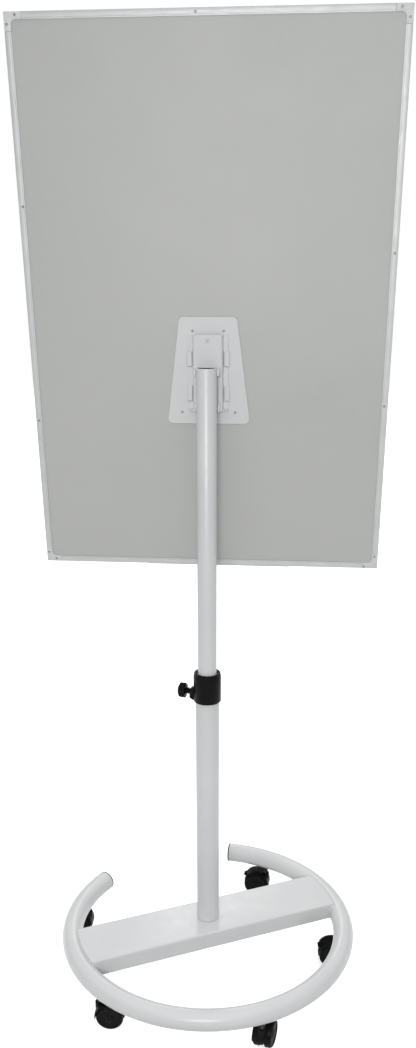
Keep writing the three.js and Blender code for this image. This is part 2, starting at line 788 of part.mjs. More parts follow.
// Pad rail: a flat strip with a groove for the two pegs and an ear at each end for the clamp bar.
function padRail() {
  const back = -FRAME_DEPTH - GAP;
  const body = block(-PAD_RAIL_HALF, back - 6, PAD_RAIL_Z - 15, PAD_RAIL_HALF, back, PAD_RAIL_Z + 15);
  const reach = PAD_RAIL_HALF - 20;
  const groove = block(-reach, back - 10, PAD_RAIL_Z - 4, reach, back - 1.5, PAD_RAIL_Z + 4);
  const ears = [-1, 1].map((side) => {
    const x = side * (PAD_RAIL_HALF - 2);
    const ear = strip(rounded([
      [back, PAD_RAIL_Z + 5, 0],
      [back, BAR_HINGE_Z + 6, 1],
      [BAR_HINGE_Y - 5, BAR_HINGE_Z + 6, 4],
      [BAR_HINGE_Y - 5, BAR_HINGE_Z - 4, 2],
      [back - 5, PAD_RAIL_Z + 5, 0],
    ]), x - 2, x + 2);
    return cut(ear, along(rod(2.3, x - 10, x + 10, 20), 'x', 0, BAR_HINGE_Y, BAR_HINGE_Z));
  });
  return join(cut(body, groove), ...ears);
}

// Clamp bar: an arched strip on a barrel, its lower edge resting against the pad rail.
function clampBar() {
  const half = PAD_RAIL_HALF - 4 - GAP;
  const y = BAR_HINGE_Y;
  const z = BAR_HINGE_Z;
  const arch = strip(shapeOf([
    [y, z + 3.4],
    [y, z - 1],
    [y - 19, z - 7],
    [y - 19.5, z - 47],
    [y - 1.6, z - 53],
    [y - 1.6, z - 56],
    [y - 22, z - 50],
    [y - 22, z - 4.5],
  ]), -half, half);
  const barrelPiece = along(rod(4, -half, half, 24), 'x', 0, y, z);
  const pin = along(rod(2.1, -half - 3.5, half + 3.5, 20), 'x', 0, y, z);
  return join(arch, barrelPiece, pin);
}

function padPeg(x) {
  const floor = -FRAME_DEPTH - GAP - 1.5 - GAP;
  const shoe = block(x - 9, floor - 4, PAD_RAIL_Z - 3.7, x + 9, floor, PAD_RAIL_Z + 3.7);
  const stud = along(turned([
    [0, 0],
    [3.5, 0],
    [3.5, 13],
    [6, 13.6],
    [6, 16],
    [5, 17],
    [0, 17],
  ], 24), 'y', 0, 0, 0).rotate([180, 0, 0]).translate([x, floor - 3, PAD_RAIL_Z]);
  return join(shoe, stud);
}

part('pen_tray', penTray(), ALUMINIUM, board);
part('pad_rail', padRail(), ALUMINIUM, board);
part('pad_clamp_bar', clampBar(), ALUMINIUM, board);
part('pad_peg_left', padPeg(-PEG_X), BLACK, board);
part('pad_peg_right', padPeg(PEG_X), BLACK, board);

export default easel;
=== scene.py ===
import json
import math
import random

import bmesh
import bpy
from mathutils import Matrix, Vector

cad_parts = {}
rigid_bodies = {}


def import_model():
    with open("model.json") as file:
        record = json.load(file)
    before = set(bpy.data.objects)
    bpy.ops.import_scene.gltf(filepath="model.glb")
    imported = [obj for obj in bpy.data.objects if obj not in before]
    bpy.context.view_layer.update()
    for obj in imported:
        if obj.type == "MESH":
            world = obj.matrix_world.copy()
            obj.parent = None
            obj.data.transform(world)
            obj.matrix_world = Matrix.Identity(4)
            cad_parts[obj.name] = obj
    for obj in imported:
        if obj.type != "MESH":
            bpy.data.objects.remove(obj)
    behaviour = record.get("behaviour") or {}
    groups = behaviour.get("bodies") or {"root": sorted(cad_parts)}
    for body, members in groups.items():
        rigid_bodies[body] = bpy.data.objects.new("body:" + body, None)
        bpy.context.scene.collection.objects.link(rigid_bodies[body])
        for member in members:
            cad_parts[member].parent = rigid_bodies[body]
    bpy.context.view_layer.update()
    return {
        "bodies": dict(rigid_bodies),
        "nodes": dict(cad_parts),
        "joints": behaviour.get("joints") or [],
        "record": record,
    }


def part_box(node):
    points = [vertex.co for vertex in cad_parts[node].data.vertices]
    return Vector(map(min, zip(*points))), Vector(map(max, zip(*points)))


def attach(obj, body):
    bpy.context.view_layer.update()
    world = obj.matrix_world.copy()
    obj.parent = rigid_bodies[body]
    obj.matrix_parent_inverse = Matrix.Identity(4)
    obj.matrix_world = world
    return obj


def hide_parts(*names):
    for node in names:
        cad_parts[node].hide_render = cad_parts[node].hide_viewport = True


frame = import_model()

MM = 0.001
DEG = math.pi / 180
GAP = 0.3
JOINTS = {joint["name"]: joint for joint in frame["joints"]}
MOUNTS = {mount["name"]: mount for mount in frame["record"]["mounts"]}

# Ring base
RING_R = 317
RING_Z = 100
RING_TUBE_R = 23
RING_WALL = 2
RING_FROM = -56.4
RING_TO = 238.6

# Crossbar
BAR_TOP = 126
BAR_HALF = 64
BAR_SKIRT = 40
BAR_SHEET = 2.5
BAR_END_R = 304

# Castors
WHEEL_R = 30
WHEEL_IN = 5
WHEEL_OUT = 21
HUB_X = 24
HOOD_R = 34
HOOD_FROM = 34
HOOD_TO = 184

# Mast and clamp
LOWER_R = 25.5
LOWER_WALL = 2.5
UPPER_R = 20
UPPER_WALL = 1.8
COLLAR_R = 29.5
COLLAR_RIM = 738.5
BOSS_REACH = 38
KNOB_R = 17
KNOB_LOBES = 6

# Board
BOARD_W = 700
BOARD_H = 1000
FRAME_DEPTH = 20
FRAME_WALL = 1.8
FLANGE = 9.5
LIP = 2.5
FLANGE_T = 1.7
CORNER = 30
CORNER_R = 2

# Mounting plate and head bracket
PLATE_FACE = 1.3
PLATE_T = 3
PLATE_BOTTOM = -202.5
PLATE_TOP_HALF = 55.5
PLATE_BOTTOM_HALF = 82
PLATE_CORNER = 10
BRACKET_TOP = -31
BRACKET_BOTTOM = -175
BRACKET_HALF = 39
WEB_HALF = 27.8
FOOT_HALF = 30
BRACKET_RISE = 16
NOTCH = 2.2
SHEET = 3
TABS = ((-90, -63), (-156, -128))
TAB_INSIDE = 31.7
LOCK_Z = -40

# Writing side
TRAY_X = -16
TRAY_HALF = 150
TRAY_DEPTH = 65
TRAY_BOTTOM = -509
PAD_RAIL_HALF = 300
PAD_RAIL_Z = 470
PEG_X = 210
HINGE_Y = -26.5
HINGE_Z = 492

# ---------- places, all taken from the frame ----------

stem = JOINTS["caster_d_swivel"]["pos_m"]
BASE_YAW = math.atan2(stem[1], stem[0]) - 90 * DEG
BASE = Matrix.Rotation(BASE_YAW, 4, "Z")

tray_up = MOUNTS["tray_floor"]["axis"]
LEAN = math.atan2(tray_up[1], tray_up[2])
core_low, core_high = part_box("board_core")
BOARD = (
    Matrix.Translation((core_low + core_high) / 2)
    @ Matrix.Rotation(-LEAN, 4, "X")
    @ Matrix.Translation((0, FRAME_DEPTH / 2 * MM, 0))
)

press = Vector(JOINTS["clamp_press"]["axis"])
CLAMP_Z = JOINTS["clamp_turn"]["pos_m"][2] / MM
CLAMP_TURN = Matrix.Rotation(math.atan2(press.y, press.x), 4, "Z")
CLAMP = Matrix.Translation((0, 0, CLAMP_Z * MM)) @ CLAMP_TURN @ Matrix.Rotation(90 * DEG, 4, "Y")


def caster_place(name):
    """Where a castor's own frame stands: its swivel axis is Z, and it trails along X."""
    swivel = Vector(JOINTS[f"caster_{name}_swivel"]["pos_m"])
    trail = Vector(JOINTS[f"caster_{name}_spin"]["pos_m"]) - swivel
    turn = Matrix.Rotation(math.atan2(trail.y, trail.x), 4, "Z")
    return Matrix.Translation((swivel.x, swivel.y, 0)) @ turn


def heights(node):
    """Lowest and highest Z of a CAD node, in millimetres."""
    low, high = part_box(node)
    return low.z / MM, high.z / MM


# ---------- shapes ----------

def shift(x=0.0, y=0.0, z=0.0):
    return Matrix.Translation((x * MM, y * MM, z * MM))


def spin(degrees, axis):
    return Matrix.Rotation(degrees * DEG, 4, axis)


ALONG_X = spin(90, "Y")
ALONG_Y = spin(-90, "X")


def new_piece(name, vertices, faces, place=None):
    """Mesh piece from vertices in millimetres, smooth but for its sharp edges."""
    mesh = bpy.data.meshes.new(name)
    mesh.from_pydata([Vector(v) * MM for v in vertices], [], faces)
    if place is not None:
        mesh.transform(place)
    mesh.validate()
    piece = bpy.data.objects.new(name, mesh)
    bpy.context.scene.collection.objects.link(piece)
    return shade(face_outwards(piece))


def face_outwards(piece):
    work = bmesh.new()
    work.from_mesh(piece.data)
    bmesh.ops.recalc_face_normals(work, faces=work.faces)
    work.to_mesh(piece.data)
    work.free()
    return piece


def shade(piece, sharp=32):
    piece.data.shade_smooth()
    piece.data.set_sharp_from_angle(angle=sharp * DEG)
    return piece


def fillet(points, radius=0.0, steps=5, closed=True):
    """Outline through (a, b) or (a, b, own radius) points, each corner turned into an arc."""
    corners = [Vector(p[:2]) for p in points]
    radii = [p[2] if len(p) > 2 else radius for p in points]
    outline = []
    for i, (corner, r) in enumerate(zip(corners, radii)):
        end_point = not closed and i in (0, len(corners) - 1)
        if r <= 0 or end_point:
            outline.append(corner)
            continue
        before = corners[i - 1] - corner
        after = corners[(i + 1) % len(corners)] - corner
        half = before.angle(after) / 2
        reach = min(r / math.tan(half), 0.48 * before.length, 0.48 * after.length)
        middle = (before.normalized() + after.normalized()).normalized()
        centre = corner + middle * (reach / math.cos(half))
        start = corner + before.normalized() * reach - centre
        end = corner + after.normalized() * reach - centre
        first = math.atan2(start.y, start.x)
        sweep = (math.atan2(end.y, end.x) - first + math.pi) % (2 * math.pi) - math.pi
        for k in range(steps + 1):
            angle = first + sweep * k / steps
            outline.append(centre + Vector((math.cos(angle), math.sin(angle))) * start.length)
    return outline


def skin(name, loops, closed=False, place=None):
    """Closed surface through loops of points: a loop of one point ends it in a fan, other ends get a cap."""
    vertices = [point for loop in loops for point in loop]
    starts = [sum(len(loop) for loop in loops[:i]) for i in range(len(loops))]
    pairs = [(i, i + 1) for i in range(len(loops) - 1)]
    if closed:
        pairs.append((len(loops) - 1, 0))
    faces = []
    for i, j in pairs:
        count = max(len(loops[i]), len(loops[j]))
        for k in range(count):
            after = (k + 1) % count
            face = [
                starts[i] + k % len(loops[i]),
                starts[i] + after % len(loops[i]),
                starts[j] + after % len(loops[j]),
                starts[j] + k % len(loops[j]),
            ]
            faces.append(list(dict.fromkeys(face)))
    if not closed:
        for i in (0, len(loops) - 1):
            if len(loops[i]) > 2:
                faces.append(list(range(starts[i], starts[i] + len(loops[i]))))
    return new_piece(name, vertices, faces, place)


def circle(radius, height, sides):
    if radius < 1e-6:
        return [(0, 0, height)]
    turn = 2 * math.pi / sides
    return [(radius * math.cos(turn * k), radius * math.sin(turn * k), height) for k in range(sides)]


def lathe(name, profile, place=None, sides=96):
    """Solid of revolution about Z: (radius, height) points that end on the axis or close on themselves."""
    loops = [circle(p[0], p[1], sides) for p in profile]
    return skin(name, loops, closed=len(loops[0]) > 1, place=place)


def rod(name, radius, low, high, place=None, sides=48):
    return lathe(name, [(0, low), (radius, low), (radius, high), (0, high)], place, sides)


def prism(name, outline, low, high, place=None, axis="z"):
    """Outline of (a, b) points extruded from low to high along an axis.

    The points are (x, y) along z, (y, z) along x and (x, z) along y.
    """
    put = {
        "x": lambda a, b, t: (t, a, b),
        "y": lambda a, b, t: (a, t, b),
        "z": lambda a, b, t: (a, b, t),
    }[axis]
    loops = [[put(a, b, t) for a, b in outline] for t in (low, high)]
    return skin(name, loops, place=place)


def bake(piece):
    """Applies the piece's modifiers to its mesh."""
    graph = bpy.context.evaluated_depsgraph_get()
    mesh = bpy.data.meshes.new_from_object(piece.evaluated_get(graph))
    piece.modifiers.clear()
    piece.data = mesh
    return piece


def combine(piece, operation, *others):
    """Union with or difference of other pieces, which are used up."""
    for other in others:
        step = piece.modifiers.new("combine", "BOOLEAN")
        step.operation = operation
        step.solver = "EXACT"
        step.object = other
        bake(piece)
        bpy.data.objects.remove(other)
    return shade(piece)


def soften(piece, width=0.4, segments=2, angle=35):
    """Rounds the edges, in millimetres, and keeps the flats flat."""
    bevel = piece.modifiers.new("edges", "BEVEL")
    bevel.width = width * MM
    bevel.segments = segments
    bevel.limit_method = "ANGLE"
    bevel.angle_limit = angle * DEG
    bevel.harden_normals = True
    piece.data.shade_smooth()
    return piece


def copy_of(piece, name, place):
    """Another piece of the same shape, at its own place."""
    twin = bpy.data.objects.new(name, piece.data)
    twin.matrix_world = place
    bpy.context.scene.collection.objects.link(twin)
    return twin


def settle(piece, body, slot, look, *nodes):
    """Gives a piece its finish and its body, and the CAD nodes that it stands for."""
    piece.data.materials.clear()
    piece.data.materials.append(look)
    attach(piece, body)
    if nodes:
        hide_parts(*nodes)
    return piece


# ---------- finishes ----------

class Finish:
    """A procedural material: noises in object space, in metres, drive its colour, roughness and bump."""

    def __init__(self, name, **sockets):
        self.material = bpy.data.materials.new(name)
        self.material.use_nodes = True
        self.nodes = self.material.node_tree.nodes
        self.links = self.material.node_tree.links
        self.surface = self.nodes["Principled BSDF"]
        self.place = self.nodes.new("ShaderNodeTexCoord").outputs["Object"]
        for socket, value in sockets.items():
            self.surface.inputs[socket.replace("_", " ")].default_value = value

    def stretched(self, stretch):
        node = self.nodes.new("ShaderNodeMapping")
        node.inputs["Scale"].default_value = stretch
        self.links.new(self.place, node.inputs["Vector"])
        return node.outputs["Vector"]

    def noise(self, scale, detail=2.0, stretch=None, distortion=0.0):
        node = self.nodes.new("ShaderNodeTexNoise")
        node.inputs["Scale"].default_value = scale
        node.inputs["Detail"].default_value = detail
        node.inputs["Distortion"].default_value = distortion
        place = self.stretched(stretch) if stretch else self.place
        self.links.new(place, node.inputs["Vector"])
        return node.outputs["Fac"]

    def cells(self, scale, stretch=None):
        node = self.nodes.new("ShaderNodeTexVoronoi")
        node.inputs["Scale"].default_value = scale
        place = self.stretched(stretch) if stretch else self.place
        self.links.new(place, node.inputs["Vector"])
        tone = self.nodes.new("ShaderNodeSeparateColor")
        self.links.new(node.outputs["Color"], tone.inputs["Color"])
        return tone.outputs["Red"]

    def ramp(self, value, dark, light, start=0.3, end=0.7):
        node = self.nodes.new("ShaderNodeValToRGB")
        first, last = node.color_ramp.elements
        first.position, last.position = start, end
        first.color, last.color = (*dark, 1), (*light, 1)
        self.links.new(value, node.inputs["Fac"])
        return node.outputs["Color"]

    def spread(self, value, low, high, start=0.3, end=0.7):
        node = self.nodes.new("ShaderNodeMapRange")
        for socket, number in zip(("From Min", "From Max", "To Min", "To Max"), (start, end, low, high)):
            node.inputs[socket].default_value = number
        self.links.new(value, node.inputs["Value"])
        return node.outputs["Result"]

    def mix(self, share, first, second):
        node = self.nodes.new("ShaderNodeMix")
        node.data_type = "RGBA"
        self.links.new(share, node.inputs["Factor"])
        for socket, colour in (("A", first), ("B", second)):
            target = [s for s in node.inputs if s.name == socket and s.type == "RGBA"][0]
            if isinstance(colour, tuple):
                target.default_value = (*colour, 1)
            else:
                self.links.new(colour, target)
        return [s for s in node.outputs if s.type == "RGBA"][0]

    def colour(self, output):
        self.links.new(output, self.surface.inputs["Base Color"])
        return self

    def roughness(self, output):
        self.links.new(output, self.surface.inputs["Roughness"])
        return self

    def bumps(self, *layers):
        """Layers of (height output, depth in metres, strength), coarse first."""
        normal = None
        for height, depth, strength in layers:
            node = self.nodes.new("ShaderNodeBump")
            node.inputs["Distance"].default_value = depth
            node.inputs["Strength"].default_value = strength
            self.links.new(height, node.inputs["Height"])
            if normal is not None:
                self.links.new(normal, node.inputs["Normal"])
            normal = node.outputs["Normal"]
        self.links.new(normal, self.surface.inputs["Normal"])
        return self.material


def powder_coat():
    look = Finish("white_powder_coat", Coat_Weight=0.3, Coat_Roughness=0.27)
    tone = look.ramp(look.noise(7, 3), (0.625, 0.635, 0.642), (0.665, 0.671, 0.675))
    scuff = look.spread(look.noise(46, 9, (1, 1, 2.6), 0.6), 0, 0.5, 0.69, 0.78)
    look.colour(look.mix(scuff, tone, (0.52, 0.52, 0.51)))
    look.roughness(look.spread(look.noise(38, 4), 0.3, 0.42))
    return look.bumps((look.noise(70), 0.0003, 0.1), (look.noise(640), 0.00008, 0.3))


def black_plastic():
    look = Finish("black_plastic", Specular_IOR_Level=0.07)
    tone = look.ramp(look.noise(60, 4), (0.0025, 0.0025, 0.0025), (0.006, 0.006, 0.0062))
    scratch = look.spread(look.noise(120, 8, (1, 1, 5), 0.4), 0, 0.6, 0.7, 0.8)
    look.colour(look.mix(scratch, tone, (0.05, 0.05, 0.05)))
    look.roughness(look.spread(look.noise(110, 3), 0.26, 0.4))
    return look.bumps((look.noise(160), 0.0002, 0.12), (look.noise(2200), 0.00004, 0.25))


def wheel_plastic():
    look = Finish("wheel_plastic", Specular_IOR_Level=0.07)
    tone = look.ramp(look.noise(90, 5), (0.004, 0.004, 0.004), (0.009, 0.009, 0.0092))
    dust = look.spread(look.noise(140, 9), 0, 0.5, 0.6, 0.78)
    look.colour(look.mix(dust, tone, (0.06, 0.057, 0.054)))
    look.roughness(look.spread(look.noise(150, 4), 0.46, 0.64))
    return look.bumps((look.noise(420, 4), 0.00016, 0.2), (look.noise(2600), 0.00005, 0.3))


def steel(name, dark, light, metallic=1.0, low=0.24, high=0.4):
    look = Finish(name, Metallic=metallic)
    look.colour(look.ramp(look.noise(55, 5), dark, light))
    look.roughness(look.spread(look.noise(130, 3, (1, 1, 8)), low, high))
    return look.bumps((look.noise(900, 3, (1, 1, 12)), 0.00003, 0.25))


def aluminium(name, brushed):
    """Anodised silver with fine lines along the way the profile was drawn."""
    look = Finish(name, Metallic=0.45)
    lines = look.noise(900, 3, brushed)
    look.colour(look.ramp(look.noise(26, 5), (0.44, 0.447, 0.45), (0.49, 0.495, 0.5)))
    look.roughness(look.spread(lines, 0.42, 0.54))
    return look.bumps((look.noise(30, 2), 0.0003, 0.06), (lines, 0.00003, 0.3))


def corner_plastic():
    look = Finish("corner_plastic", IOR=1.46)
    look.colour(look.ramp(look.noise(50, 4), (0.62, 0.628, 0.632), (0.67, 0.675, 0.68)))
    look.roughness(look.spread(look.noise(90, 3), 0.36, 0.5))
    return look.bumps((look.noise(1800), 0.00004, 0.3))


def galvanised():
    """Thin coated sheet: broad clouding, faint spangle and a fine grain."""
    look = Finish("galvanised_steel", Metallic=0.2)
    cloud = look.ramp(look.noise(2.2, 4, None, 0.3), (0.411, 0.421, 0.413), (0.441, 0.45, 0.44), 0.3, 0.7)
    spangle = look.spread(look.cells(95), 0, 0.22, 0, 1)
    look.colour(look.mix(spangle, cloud, (0.45, 0.447, 0.44)))
    look.roughness(look.spread(look.noise(9, 3), 0.55, 0.58))
    return look.bumps((look.noise(2.4, 2), 0.002, 0.006), (look.noise(900, 2), 0.00002, 0.12))


def white_lacquer():
    """Whiteboard face: half gloss, with the faint haze of wiped ink."""
    look = Finish("white_lacquer", Coat_Weight=0.25, Coat_Roughness=0.2)
    haze = look.spread(look.noise(5, 7, (1, 1, 0.5), 1.2), 0, 0.6, 0.52, 0.74)
    tone = look.ramp(look.noise(3, 2), (0.80, 0.81, 0.81), (0.83, 0.835, 0.835))
    look.colour(look.mix(haze, tone, (0.755, 0.765, 0.775)))
    look.roughness(look.spread(look.noise(9, 6, None, 0.8), 0.28, 0.38))
    return look.bumps((look.noise(9), 0.001, 0.04), (look.noise(700), 0.00002, 0.2))


def honeycomb():
    look = Finish("honeycomb_core")
    look.colour(look.ramp(look.noise(160, 6), (0.36, 0.26, 0.16), (0.52, 0.40, 0.27)))
    look.roughness(look.spread(look.noise(200, 3), 0.8, 0.95))
    return look.bumps((look.cells(110), 0.0006, 0.5))


def nylon():
    look = Finish("sliding_plastic", IOR=1.5)
    look.colour(look.ramp(look.noise(70, 4), (0.035, 0.035, 0.037), (0.06, 0.06, 0.062)))
    look.roughness(look.spread(look.noise(120, 3), 0.4, 0.55))
    return look.bumps((look.noise(1500), 0.00004, 0.3))


WHITE = powder_coat()
BLACK = black_plastic()
WHEEL = wheel_plastic()
BRIGHT_STEEL = steel("bright_steel", (0.55, 0.56, 0.57), (0.68, 0.69, 0.70))
BLACK_STEEL = steel("black_steel", (0.02, 0.02, 0.021), (0.045, 0.045, 0.047), 0.6, 0.3, 0.46)
SCREW_STEEL = steel("screw_steel", (0.22, 0.22, 0.225), (0.34, 0.34, 0.345), 0.8, 0.34, 0.48)
ZINC = steel("zinc_steel", (0.54, 0.545, 0.55), (0.62, 0.625, 0.63), 0.4, 0.46, 0.56)
DRAWN_ACROSS = aluminium("frame_aluminium_across", (0.03, 1, 1))
DRAWN_UP = aluminium("frame_aluminium_up", (1, 1, 0.03))
CORNER_LOOK = corner_plastic()
SHEET_LOOK = galvanised()
LACQUER = white_lacquer()
CORE = honeycomb()
NYLON = nylon()

# ---------- base ----------


def on_ring(angle, radius=RING_R, height=RING_Z):
    return Vector((radius * math.cos(angle * DEG), radius * math.sin(angle * DEG), height))


def ring_tube():
    """Bent tube, open at both ends: the outer wall one way round the ring and the inner wall back."""
    steps, sides, chamfer = 220, 56, 0.7
    bite = chamfer / RING_R / DEG
    stations = [RING_FROM + bite + (RING_TO - RING_FROM - 2 * bite) * k / steps for k in range(steps + 1)]
    bore = RING_TUBE_R - RING_WALL
    walls = [(RING_FROM, RING_TUBE_R - chamfer)]
    walls += [(angle, RING_TUBE_R) for angle in stations]
    walls += [(RING_TO, RING_TUBE_R - chamfer)]
    walls += [(angle, bore) for angle in [RING_TO, *reversed(stations), RING_FROM]]
    loops = []
    for angle, radius in walls:
        outward = on_ring(angle, 1, 0)
        turns = [2 * math.pi * k / sides for k in range(sides)]
        loops.append([
            on_ring(angle) + radius * (outward * math.cos(t) + Vector((0, 0, math.sin(t)))) for t in turns
        ])
    return skin("ring_tube", loops, closed=True, place=BASE)


def end_cap(name, angle, turn):
    """Domed cap on a ribbed spigot, pushed into the tube's end."""
    bore = RING_TUBE_R - RING_WALL - 0.4
    profile = [(0, -14), (bore - 1.6, -14)]
    for rib in (-12, -9, -6):
        profile += [(bore - 1.6, rib), (bore, rib + 0.8), (bore - 1.6, rib + 1.6)]
    profile += [(bore - 1.6, 0.2), (RING_TUBE_R - 0.2, 0.2), (RING_TUBE_R, 0.8), (RING_TUBE_R, 1.8)]
    profile += [(RING_TUBE_R - 0.6, 2.6), (RING_TUBE_R - 2, 3.1), (RING_TUBE_R - 6, 3.4), (0, 3.5)]
    place = BASE @ spin(angle, "Z") @ shift(RING_R, 0, RING_Z) @ spin(turn, "X")
    return lathe(name, profile, place, 64)


def crossbar():
    low = BAR_TOP - BAR_SKIRT
    inner = BAR_HALF - BAR_SHEET
    section = fillet([
        (-BAR_HALF, low, 0.8),
        (-inner, low, 0.8),
        (-inner, BAR_TOP - BAR_SHEET, 2),
        (inner, BAR_TOP - BAR_SHEET, 2),
        (inner, low, 0.8),
        (BAR_HALF, low, 0.8),
        (BAR_HALF, BAR_TOP, 4.5),
        (-BAR_HALF, BAR_TOP, 4.5),
    ], steps=8)
    bar = prism("crossbar_channel", section, -BAR_END_R, BAR_END_R, BASE, "x")
    rim = fillet([(BAR_END_R, 60), (BAR_END_R, 140), (400, 140), (400, 60)])
    ends = lathe("ends", rim, BASE, 240)
    turns = [2 * math.pi * k / 64 for k in range(64)]
    clear = RING_TUBE_R + 0.15
    round_ring = [(RING_R + clear * math.cos(t), RING_Z + clear * math.sin(t)) for t in turns]
    ring = lathe("ring", round_ring, BASE, 240)
    return combine(bar, "DIFFERENCE", ends, ring, rod("bolt", 5.5, 110, 140, BASE, 32))


def weld(name, points, radius, seed, blob=0.0):
    """Bead along a line of points, rippled as it was laid, and fatter at its ends by blob."""
    draw = random.Random(seed)
    loops = [[points[0]]]
    for i in range(1, len(points) - 1):
        along = (points[i + 1] - points[i - 1]).normalized()
        side = along.cross(Vector((0, 0, 1)) if abs(along.z) < 0.8 else Vector((0, 1, 0))).normalized()
        up = side.cross(along)
        share = i / (len(points) - 1)
        size = radius * (1 + 0.13 * math.sin(i * 2.1) + draw.uniform(-0.06, 0.06))
        size += blob * max(0, 1 - 9 * min(share, 1 - share))
        size *= min(1, 0.45 + 0.3 * min(i, len(points) - 1 - i))
        loops.append([
            points[i] + size * (side * math.cos(t) + up * math.sin(t))
            for t in (2 * math.pi * k / 14 for k in range(14))
        ])
    loops.append([points[-1]])
    return skin(name, loops, place=BASE)


def bar_end_weld(side):
    """Bead over the ring's crest, where the crossbar's top ends."""
    reach = math.asin((BAR_HALF - 3) / BAR_END_R) / DEG
    middle = 0 if side > 0 else 180
    angles = [middle - reach + 2 * reach * k / 90 for k in range(91)]
    return [on_ring(angle, BAR_END_R + 0.6, BAR_TOP - 5) for angle in angles]


def skirt_weld(side, face):
    """Bead down a skirt's end, where it meets the inner side of the ring."""
    points = []
    for k in range(41):
        z = BAR_TOP - BAR_SKIRT + 1.5 + (BAR_SKIRT - 5) * k / 40
        inward = math.sqrt(max(0.0, RING_TUBE_R**2 - (z - RING_Z) ** 2))
        x = math.sqrt((RING_R - inward) ** 2 - BAR_HALF**2)
        points.append(Vector((side * (x - 0.3), face * (BAR_HALF + 0.2), z)))
    return points


settle(ring_tube(), "base", "white_powder_coat", WHITE, "base_ring")
settle(end_cap("ring_cap_right", RING_FROM, 90), "base", "black_plastic", BLACK, "ring_plug_right")
settle(end_cap("ring_cap_left", RING_TO, -90), "base", "black_plastic", BLACK, "ring_plug_left")
settle(crossbar(), "base", "white_powder_coat", WHITE, "base_crossbar")
for side, side_name in ((1, "left"), (-1, "right")):
    bead = weld(f"weld_top_{side_name}", bar_end_weld(side), 2.1, 11 + side, 1.4)
    settle(bead, "base", "white_powder_coat", WHITE)
    for face, face_name in ((1, "back"), (-1, "front")):
        bead = weld(f"weld_skirt_{side_name}_{face_name}", skirt_weld(side, face), 1.3, 20 + side + face, 0.9)
        settle(bead, "base", "white_powder_coat", WHITE)

# ---------- castors ----------

HUB_AXIS = shift(HUB_X, 0, WHEEL_R) @ ALONG_Y


def about_hub(radius, angle):
    return (HUB_X + radius * math.cos(angle * DEG), WHEEL_R + radius * math.sin(angle * DEG))


def lever_slot():
    outline = [about_hub(29, 26), about_hub(48, 28), about_hub(48, 51), about_hub(29, 51.5)]
    return prism("slot", outline, -8.4, 8.4, axis="y")


def hood(name, brake):
    """Fender over both wheels, a web between them and the nose that takes the stem."""
    inner = WHEEL_R + 1.2
    section = fillet([
        (inner, -20.6, 0.5),
        (32.6, -20.6, 0.8),
        (HOOD_R, -13.5, 7),
        (HOOD_R, 13.5, 7),
        (32.6, 20.6, 0.8),
        (inner, 20.6, 0.5),
    ])
    loops = []
    stations = [HOOD_FROM + (HOOD_TO - HOOD_FROM) * k / 60 for k in range(61)]
    for angle in stations:
        points = [(*about_hub(radius, angle), y) for radius, y in section]
        loops.append([(x, y, z) for x, z, y in points])
    shell = skin(name, loops)
    sweep = [about_hub(inner + 0.6, -17.2 + 214.4 * k / 60) for k in range(61)]
    web = prism("web", fillet(sweep), -4, 4, axis="y")
    nose = lathe("nose", fillet([(0, 40), (9, 40), (9, 60.5, 1.6), (0, 60.5)], closed=False), None, 48)
    for turn in (0, 180):
        combine(nose, "DIFFERENCE", rod("well", inner, 4.4, 24, HUB_AXIS @ spin(turn, "X"), 96))
    combine(shell, "UNION", web, nose)
    bore = [(0, 45.5), (4.2, 45.5), (4.2, 57.2), (5.8, 57.2), (5.8, 70), (0, 70)]
    stem_hole = lathe("stem_hole", bore, None, 48)
    combine(shell, "DIFFERENCE", stem_hole, rod("axle_hole", 4.2, -30, 30, HUB_AXIS))
    if brake:
        combine(shell, "DIFFERENCE", lever_slot())
    return shell


def wheel(name, side):
    """One disc of the twin wheel: grooved tread, rolled rim, dished face and hub cap."""
    profile = fillet([
        (0, 17.9),
        (4.3, 17.9, 0),
        (4.3, WHEEL_IN, 0.3),
        (28.4, WHEEL_IN, 1),
        (WHEEL_R, WHEEL_IN + 1.8, 0.8),
        (WHEEL_R, 10.3, 0.2),
        (WHEEL_R - 0.7, 10.8, 0.2),
        (WHEEL_R - 0.7, 12, 0.2),
        (WHEEL_R, 12.5, 0.2),
        (WHEEL_R, 17.2, 2.4),
        (26.6, WHEEL_OUT, 1.6),
        (23.2, WHEEL_OUT, 0.8),
        (21.8, 19.4, 0.8),
        (10.4, 19.0, 0.6),
        (9.2, 20.4, 0.6),
        (4.5, 20.9, 1),
        (0, 20.9),
    ], steps=4, closed=False)
    turned = HUB_AXIS if side > 0 else HUB_AXIS @ spin(180, "X")
    return lathe(name, profile, turned, 80)


def axle_pin(name):
    half = 17.7
    profile = fillet([(0, -half), (4, -half, 0.5), (4, half, 0.5), (0, half)], closed=False)
    return lathe(name, profile, HUB_AXIS, 40)


def post(name):
    """Threaded stem with its flange under the ring, and the journal that the hood turns on."""
    profile = [(0, 46), (3.7, 46), (4, 46.4), (4, 57.5), (5.5, 57.5), (5.5, 61)]
    for turn in range(7):
        z = 61.2 + 1.5 * turn
        profile += [(5.5, z), (4.8, z + 0.75)]
    flange = [(5.5, 71.8), (8.1, 72), (8.5, 72.5), (8.5, 76.2), (8.1, 76.7), (5.5, 76.7)]
    profile += flange + [(5.5, 95.5), (5, 96), (0, 96)]
    return lathe(name, profile, None, 48)


